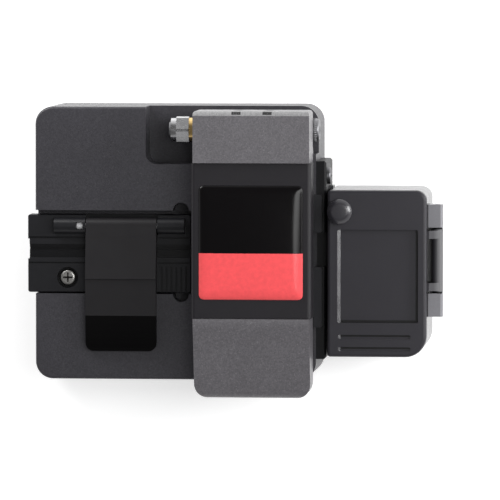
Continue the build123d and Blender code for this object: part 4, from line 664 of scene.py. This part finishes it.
def turned(name, axis, centre, profile, material, segments=56):
    """Solid turned round an axis; the profile's points are (place along it, radius)."""
    shape = bmesh.new()
    other = [i for i in range(3) if i != axis]
    rings = []
    for along, radius in profile:
        ring = []
        for k in range(segments):
            angle = 2 * math.pi * k / segments
            point = list(centre)
            point[axis] += along
            point[other[0]] += radius * math.cos(angle)
            point[other[1]] += radius * math.sin(angle)
            ring.append(shape.verts.new(point))
        rings.append(ring)
    for first, second in zip(rings, rings[1:]):
        for k in range(segments):
            n = (k + 1) % segments
            shape.faces.new((first[k], first[n], second[n], second[k]))
    shape.faces.new(rings[0])
    shape.faces.new(rings[-1])
    bmesh.ops.recalc_face_normals(shape, faces=shape.faces)
    mesh = bpy.data.meshes.new(name)
    shape.to_mesh(mesh)
    shape.free()
    mesh.materials.append(material)
    return linked_object(name, mesh)


class CLEAVER_OT_button(bpy.types.Operator):
    """Latch button on the lid, with a wide polished bevel"""
    bl_idname = "cleaver.button"
    bl_label = "Make the button"

    def execute(self, context):
        paint = context.scene.cleaver_paint
        satin = finish_material("button_satin", "moulded", paint.lid_colour,
                                {"Roughness": 0.26, "Clouding": 0.22},
                                {"Specular IOR Level": 0.8}, bump=0.04)
        low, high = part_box("lid_button")
        centre = ((low.x + high.x) / 2, (low.y + high.y) / 2, high.z)
        deep = low.z - high.z
        radius = (high.x - low.x) / 2
        head, stem, lead_in = 2.1 * MM, 1.2 * MM, 0.4 * MM
        profile = ((deep, stem - lead_in), (deep + lead_in, stem), (-head, stem), (-head, radius),
                   (-0.95 * MM, radius), (-0.80 * MM, radius - 0.08 * MM),
                   (-0.08 * MM, radius - 1.05 * MM), (-0.02 * MM, radius - 1.20 * MM),
                   (0, radius - 1.4 * MM), (0, 0.1 * MM))
        button = turned("latch_button", 2, centre, profile, satin)
        dress(button, "button", "lid_charcoal", "lid_button")
        button.data.set_sharp_from_angle(angle=math.radians(30))
        return {"FINISHED"}


class CLEAVER_OT_pin_collar(bpy.types.Operator):
    """Polished collar on the flap's pin, in the notch of the left ridge"""
    bl_idname = "cleaver.pin_collar"
    bl_label = "Make the pin's collar"

    def execute(self, context):
        low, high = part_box("flap_pin")
        notch = 1.40 * MM
        centre = (low.x + notch, (low.y + high.y) / 2, (low.z + high.z) / 2)
        profile = ((-0.95 * MM, 0.60 * MM), (-0.92 * MM, 0.86 * MM), (-0.70 * MM, 0.98 * MM),
                   (0.70 * MM, 0.98 * MM), (0.92 * MM, 0.86 * MM), (0.95 * MM, 0.60 * MM))
        satin = finish_material("collar_satin", "moulded", (0.95, 0.95, 0.97),
                                {"Roughness": 0.30, "Clouding": 0.1},
                                {"Specular IOR Level": 0.9}, bump=0.02)
        collar = turned("pin_collar", 0, centre, profile, satin, 40)
        dress(collar, "base", "steel_pins")
        return {"FINISHED"}


class CLEAVER_OT_lid_leads(bpy.types.Operator):
    """Polished slopes at the left ends of the lid's sunken panel and grip grooves"""
    bl_idname = "cleaver.lid_leads"
    bl_label = "Slope the lid's recesses"

    def execute(self, context):
        paint = context.scene.cleaver_paint
        polished = finish_material("lid_polished", "moulded", paint.lid_colour,
                                   {"Roughness": 0.20, "Clouding": 0.12},
                                   {"Specular IOR Level": 1.0}, bump=0.01)
        low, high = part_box("scrap_lid")
        slopes = ((2.62, 0.80, 9.05, 33.35, 1.18, 0.58),
                  (2.85, 0.60, 4.80, 5.80, 0.48, 0.42),
                  (2.85, 0.60, 1.60, 2.60, 0.48, 0.42))
        vertices, faces = [], []
        for slope in slopes:
            inset, run, front, back, depth, rise = (size * MM for size in slope)
            x, floor = low.x + inset, high.z - depth
            start = len(vertices)
            for y in (low.y + front, low.y + back):
                vertices += [(x, y, floor), (x + run, y, floor), (x, y, floor + rise)]
            faces += [tuple(start + i for i in f) for f in
                      ((0, 1, 2), (5, 4, 3), (0, 3, 4, 1), (1, 4, 5, 2), (2, 5, 3, 0))]
        leads = new_mesh_object("lid_leads", vertices, faces, polished)
        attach(leads, "lid")
        return {"FINISHED"}


class CLEAVER_OT_pin_washers(bpy.types.Operator):
    """Two washers on the lid's pin, between its barrel and the lugs"""
    bl_idname = "cleaver.pin_washers"
    bl_label = "Make the pin's washers"

    def execute(self, context):
        low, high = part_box("lid_pin")
        middle = ((low.x + high.x) / 2, 0.0, (low.z + high.z) / 2)
        dull = bpy.data.materials["bracket_anodised"]
        radius, chamfered = 1.42 * MM, 1.30 * MM
        for name, start in (("pin_washer_front", low.y + 5.93 * MM),
                            ("pin_washer_back", high.y - 6.32 * MM)):
            profile = ((start, chamfered), (start + 0.04 * MM, radius),
                       (start + 0.40 * MM, radius), (start + 0.44 * MM, chamfered))
            washer = turned(name, 1, middle, profile, dull, 40)
            dress(washer, "collector", "bin_grey")
        return {"FINISHED"}


# repeated details

def ribs_round_tree():
    """Geometry Nodes: rods spread evenly round an axis along Y, laid along it."""
    tree = bpy.data.node_groups.new("Ribs Round A Roller", "GeometryNodeTree")
    sockets = (("Count", "NodeSocketInt", 16), ("Ring Radius", "NodeSocketFloat", 0.001),
               ("Rib Radius", "NodeSocketFloat", 0.0001), ("Rib Length", "NodeSocketFloat", 0.01),
               ("Sides", "NodeSocketInt", 8), ("Centre", "NodeSocketVector", (0, 0, 0)),
               ("Turn", "NodeSocketVector", (0, 0, 0)), ("Material", "NodeSocketMaterial", None))
    for name, kind, value in sockets:
        socket = tree.interface.new_socket(name=name, in_out="INPUT", socket_type=kind)
        if value is not None:
            socket.default_value = value
    tree.interface.new_socket(name="Geometry", in_out="OUTPUT", socket_type="NodeSocketGeometry")
    gin = tree.nodes.new("NodeGroupInput")
    gout = tree.nodes.new("NodeGroupOutput")
    link = tree.links.new
    ring = tree.nodes.new("GeometryNodeMeshCircle")
    link(gin.outputs["Count"], ring.inputs["Vertices"])
    link(gin.outputs["Ring Radius"], ring.inputs["Radius"])
    rod = tree.nodes.new("GeometryNodeMeshCylinder")
    link(gin.outputs["Sides"], rod.inputs["Vertices"])
    link(gin.outputs["Rib Radius"], rod.inputs["Radius"])
    link(gin.outputs["Rib Length"], rod.inputs["Depth"])
    spread = tree.nodes.new("GeometryNodeInstanceOnPoints")
    link(ring.outputs["Mesh"], spread.inputs["Points"])
    link(rod.outputs["Mesh"], spread.inputs["Instance"])
    solid = tree.nodes.new("GeometryNodeRealizeInstances")
    link(spread.outputs["Instances"], solid.inputs[0])
    place = tree.nodes.new("GeometryNodeTransform")
    link(solid.outputs[0], place.inputs["Geometry"])
    link(gin.outputs["Centre"], place.inputs["Translation"])
    link(gin.outputs["Turn"], place.inputs["Rotation"])
    coat = tree.nodes.new("GeometryNodeSetMaterial")
    link(place.outputs["Geometry"], coat.inputs["Geometry"])
    link(gin.outputs["Material"], coat.inputs["Material"])
    link(coat.outputs["Geometry"], gout.inputs["Geometry"])
    return tree


def run_tree(tree, name, values):
    """Plain mesh object made by a Geometry Nodes tree with these inputs."""
    carrier = linked_object(name + "_carrier", bpy.data.meshes.new(name + "_carrier"))
    modifier = carrier.modifiers.new("make", "NODES")
    modifier.node_group = tree
    for item in tree.interface.items_tree:
        if item.in_out == "INPUT" and item.name in values:
            modifier[item.identifier] = values[item.name]
    bpy.context.view_layer.update()
    seen = carrier.evaluated_get(bpy.context.evaluated_depsgraph_get())
    mesh = bpy.data.meshes.new_from_object(seen)
    mesh.name = name
    carrier.modifiers.remove(modifier)
    bpy.data.objects.remove(carrier)
    return linked_object(name, mesh)


class CLEAVER_OT_roller_ribs(bpy.types.Operator):
    """Fine rubber ribs round both rollers"""
    bl_idname = "cleaver.roller_ribs"
    bl_label = "Rib the rollers"

    def execute(self, context):
        tree = ribs_round_tree()
        rubber = bpy.data.materials["black_rubber"]
        for level, body in (("low", "roller_low"), ("high", "roller_high")):
            low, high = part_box("roller_sleeve_" + level)
            centre = (low + high) / 2
            radius = (high.z - low.z) / 2
            sunk, end_gaps = 0.03 * MM, 0.4 * MM
            ribs = run_tree(tree, "roller_ribs_" + level, {
                "Count": 18, "Ring Radius": radius - sunk, "Rib Radius": 0.07 * MM,
                "Rib Length": (high.y - low.y) - end_gaps, "Sides": 6,
                "Centre": tuple(centre), "Turn": (math.pi / 2, 0.0, 0.0), "Material": rubber})
            dress(ribs, body, "rubber_black")
        return {"FINISHED"}


class CLEAVER_OT_bolt_knurl(bpy.types.Operator):
    """Straight knurl round the hinge bolt's head"""
    bl_idname = "cleaver.bolt_knurl"
    bl_label = "Knurl the bolt's head"

    def execute(self, context):
        tree = bpy.data.node_groups["Ribs Round A Roller"]
        low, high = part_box("hinge_bolt")
        radius = (high.z - low.z) / 2
        head_middle, sunk = 1.35 * MM, 0.04 * MM
        centre = (high.x - head_middle, (low.y + high.y) / 2, (low.z + high.z) / 2)
        ribs = run_tree(tree, "bolt_knurl", {
            "Count": 34, "Ring Radius": radius - sunk, "Rib Radius": 0.16 * MM,
            "Rib Length": 1.3 * MM, "Sides": 6, "Centre": centre,
            "Turn": (0.0, math.pi / 2, 0.0), "Material": bpy.data.materials["bolt_nickel"]})
        dress(ribs, "cover", "plated")
        return {"FINISHED"}


# stage

class CLEAVER_OT_stage(bpy.types.Operator):
    """Camera, pale floor, white surround and soft lights"""
    bl_idname = "cleaver.stage"
    bl_label = "Set the stage"

    def execute(self, context):
        scene = context.scene
        settings = scene.cleaver_stage
        scene.view_settings.view_transform = "Standard"
        self.camera(scene, settings)
        self.floor()
        self.world(scene)
        self.lights()
        return {"FINISHED"}

    def camera(self, scene, settings):
        """Long lens over the base's top, leaning as the photograph's does."""
        data = bpy.data.cameras.new("camera")
        data.sensor_width = 36
        data.lens = data.sensor_width * settings.distance / settings.field
        data.clip_start = 0.05
        camera = linked_object("camera", data)
        picture_centre = Vector((4.12 * MM, 0.41 * MM, 32 * MM))
        lean = Vector((math.tan(settings.lean_right), math.tan(settings.lean_back), 1)).normalized()
        across = Vector((0, 1, 0)).cross(lean).normalized()
        upward = lean.cross(across)
        camera.location = picture_centre + lean * settings.distance
        camera.rotation_euler = Matrix((across, upward, lean)).transposed().to_euler()
        scene.camera = camera

    def floor(self):
        """Pale sheet under the object that the camera sees as white."""
        size = 2.0
        mesh = bpy.data.meshes.new("floor")
        mesh.from_pydata([(-size, -size, 0), (size, -size, 0), (size, size, 0), (-size, size, 0)],
                         [], [(0, 1, 2, 3)])
        floor = linked_object("floor", mesh)
        material = bpy.data.materials.new("studio_floor")
        material.use_nodes = True
        tree = material.node_tree
        tree.nodes.clear()
        paper = node(tree, "ShaderNodeBsdfDiffuse", {"Color": (0.80, 0.80, 0.80, 1)})
        glow = node(tree, "ShaderNodeEmission", {"Color": (1, 1, 1, 1), "Strength": 0.55})
        rays = node(tree, "ShaderNodeLightPath")
        both = node(tree, "ShaderNodeAddShader")
        mix = node(tree, "ShaderNodeMixShader")
        out = node(tree, "ShaderNodeOutputMaterial")
        seen = maths(tree, "MAXIMUM", rays.outputs["Is Camera Ray"], rays.outputs["Is Glossy Ray"])
        link = tree.links.new
        link(paper.outputs[0], both.inputs[0])
        link(glow.outputs[0], both.inputs[1])
        link(seen, mix.inputs[0])
        link(paper.outputs[0], mix.inputs[1])
        link(both.outputs[0], mix.inputs[2])
        link(mix.outputs[0], out.inputs[0])
        mesh.materials.append(material)

    def world(self, scene):
        """White surround that dims towards the ceiling, and a weaker even light."""
        world = bpy.data.worlds.new("studio")
        world.use_nodes = True
        tree = world.node_tree
        tree.nodes.clear()
        light = node(tree, "ShaderNodeBackground", {"Color": (1, 1, 1, 1), "Strength": 0.36})
        sight = node(tree, "ShaderNodeBackground", {"Color": (1, 1, 1, 1)})
        rays = node(tree, "ShaderNodeLightPath")
        mix = node(tree, "ShaderNodeMixShader")
        out = node(tree, "ShaderNodeOutputWorld")
        place = node(tree, "ShaderNodeTexCoord")
        split = node(tree, "ShaderNodeSeparateXYZ")
        dim = node(tree, "ShaderNodeMapRange",
                   {"From Min": 0.10, "From Max": 0.75, "To Min": 1.0, "To Max": 0.16},
                   interpolation_type="SMOOTHSTEP")
        link = tree.links.new
        link(place.outputs["Generated"], split.inputs[0])
        link(split.outputs[2], dim.inputs["Value"])
        link(maths(tree, "MAXIMUM", rays.outputs["Is Camera Ray"], dim.outputs[0]),
             sight.inputs["Strength"])
        seen = maths(tree, "MAXIMUM", rays.outputs["Is Camera Ray"],
                     rays.outputs["Is Transmission Ray"])
        seen = maths(tree, "MAXIMUM", seen, rays.outputs["Is Glossy Ray"])
        link(seen, mix.inputs[0])
        link(light.outputs[0], mix.inputs[1])
        link(sight.outputs[0], mix.inputs[2])
        link(mix.outputs[0], out.inputs[0])
        scene.world = world

    def lights(self):
        """Softbox above on the right, a lower one behind it, a weak low fill behind on the left."""
        table = (("softbox", (0.44, 0.12, 0.86), (0.30, 0.70), 3.8),
                 ("low_box", (0.86, 0.24, 0.36), (0.50, 0.30), 5.5),
                 ("corner_box", (-0.12, 0.14, 0.09), (0.10, 0.06), 0.20))
        for name, place, size, energy in table:
            data = bpy.data.lights.new(name, "AREA")
            data.shape = "RECTANGLE"
            data.size, data.size_y = size
            data.energy = energy
            lamp = linked_object(name, data)
            lamp.location = place
            lamp.visible_camera = False
            lamp.rotation_euler = (-Vector(place)).to_track_quat("-Z", "Y").to_euler()


class CLEAVER_PT_panel(bpy.types.Panel):
    """Lists the cleaver's settings and steps"""
    bl_label = "Fibre Cleaver"
    bl_idname = "CLEAVER_PT_panel"
    bl_space_type = "VIEW_3D"
    bl_region_type = "UI"
    bl_category = "Cleaver"

    def draw(self, context):
        layout = self.layout
        for block in (context.scene.cleaver_paint, context.scene.cleaver_label,
                      context.scene.cleaver_stage):
            for name in block.__annotations__:
                layout.prop(block, name)
        for step in STEPS:
            layout.operator(step.bl_idname)


STEPS = (CLEAVER_OT_stage, CLEAVER_OT_castings, CLEAVER_OT_mouldings, CLEAVER_OT_anodised,
         CLEAVER_OT_metalwork, CLEAVER_OT_rubber, CLEAVER_OT_label, CLEAVER_OT_button,
         CLEAVER_OT_pin_collar, CLEAVER_OT_pin_washers, CLEAVER_OT_lid_leads,
         CLEAVER_OT_roller_ribs, CLEAVER_OT_bolt_knurl)
CLASSES = (CleaverPaintSettings, CleaverLabelSettings, CleaverStageSettings) + STEPS + (
    CLEAVER_PT_panel,)
BLOCKS = (("cleaver_paint", CleaverPaintSettings), ("cleaver_label", CleaverLabelSettings),
          ("cleaver_stage", CleaverStageSettings))


def register():
    """Registers the classes and hangs the settings on the scene."""
    for cls in CLASSES:
        bpy.utils.register_class(cls)
    for name, cls in BLOCKS:
        setattr(bpy.types.Scene, name, bpy.props.PointerProperty(type=cls))


def unregister():
    """Takes the settings and the classes away again."""
    for name, _ in BLOCKS:
        delattr(bpy.types.Scene, name)
    for cls in reversed(CLASSES):
        bpy.utils.unregister_class(cls)


def main():
    """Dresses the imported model."""
    register()
    for step in STEPS:
        family, name = step.bl_idname.split(".")
        getattr(getattr(bpy.ops, family), name)()


if __name__ == "__main__":
    main()
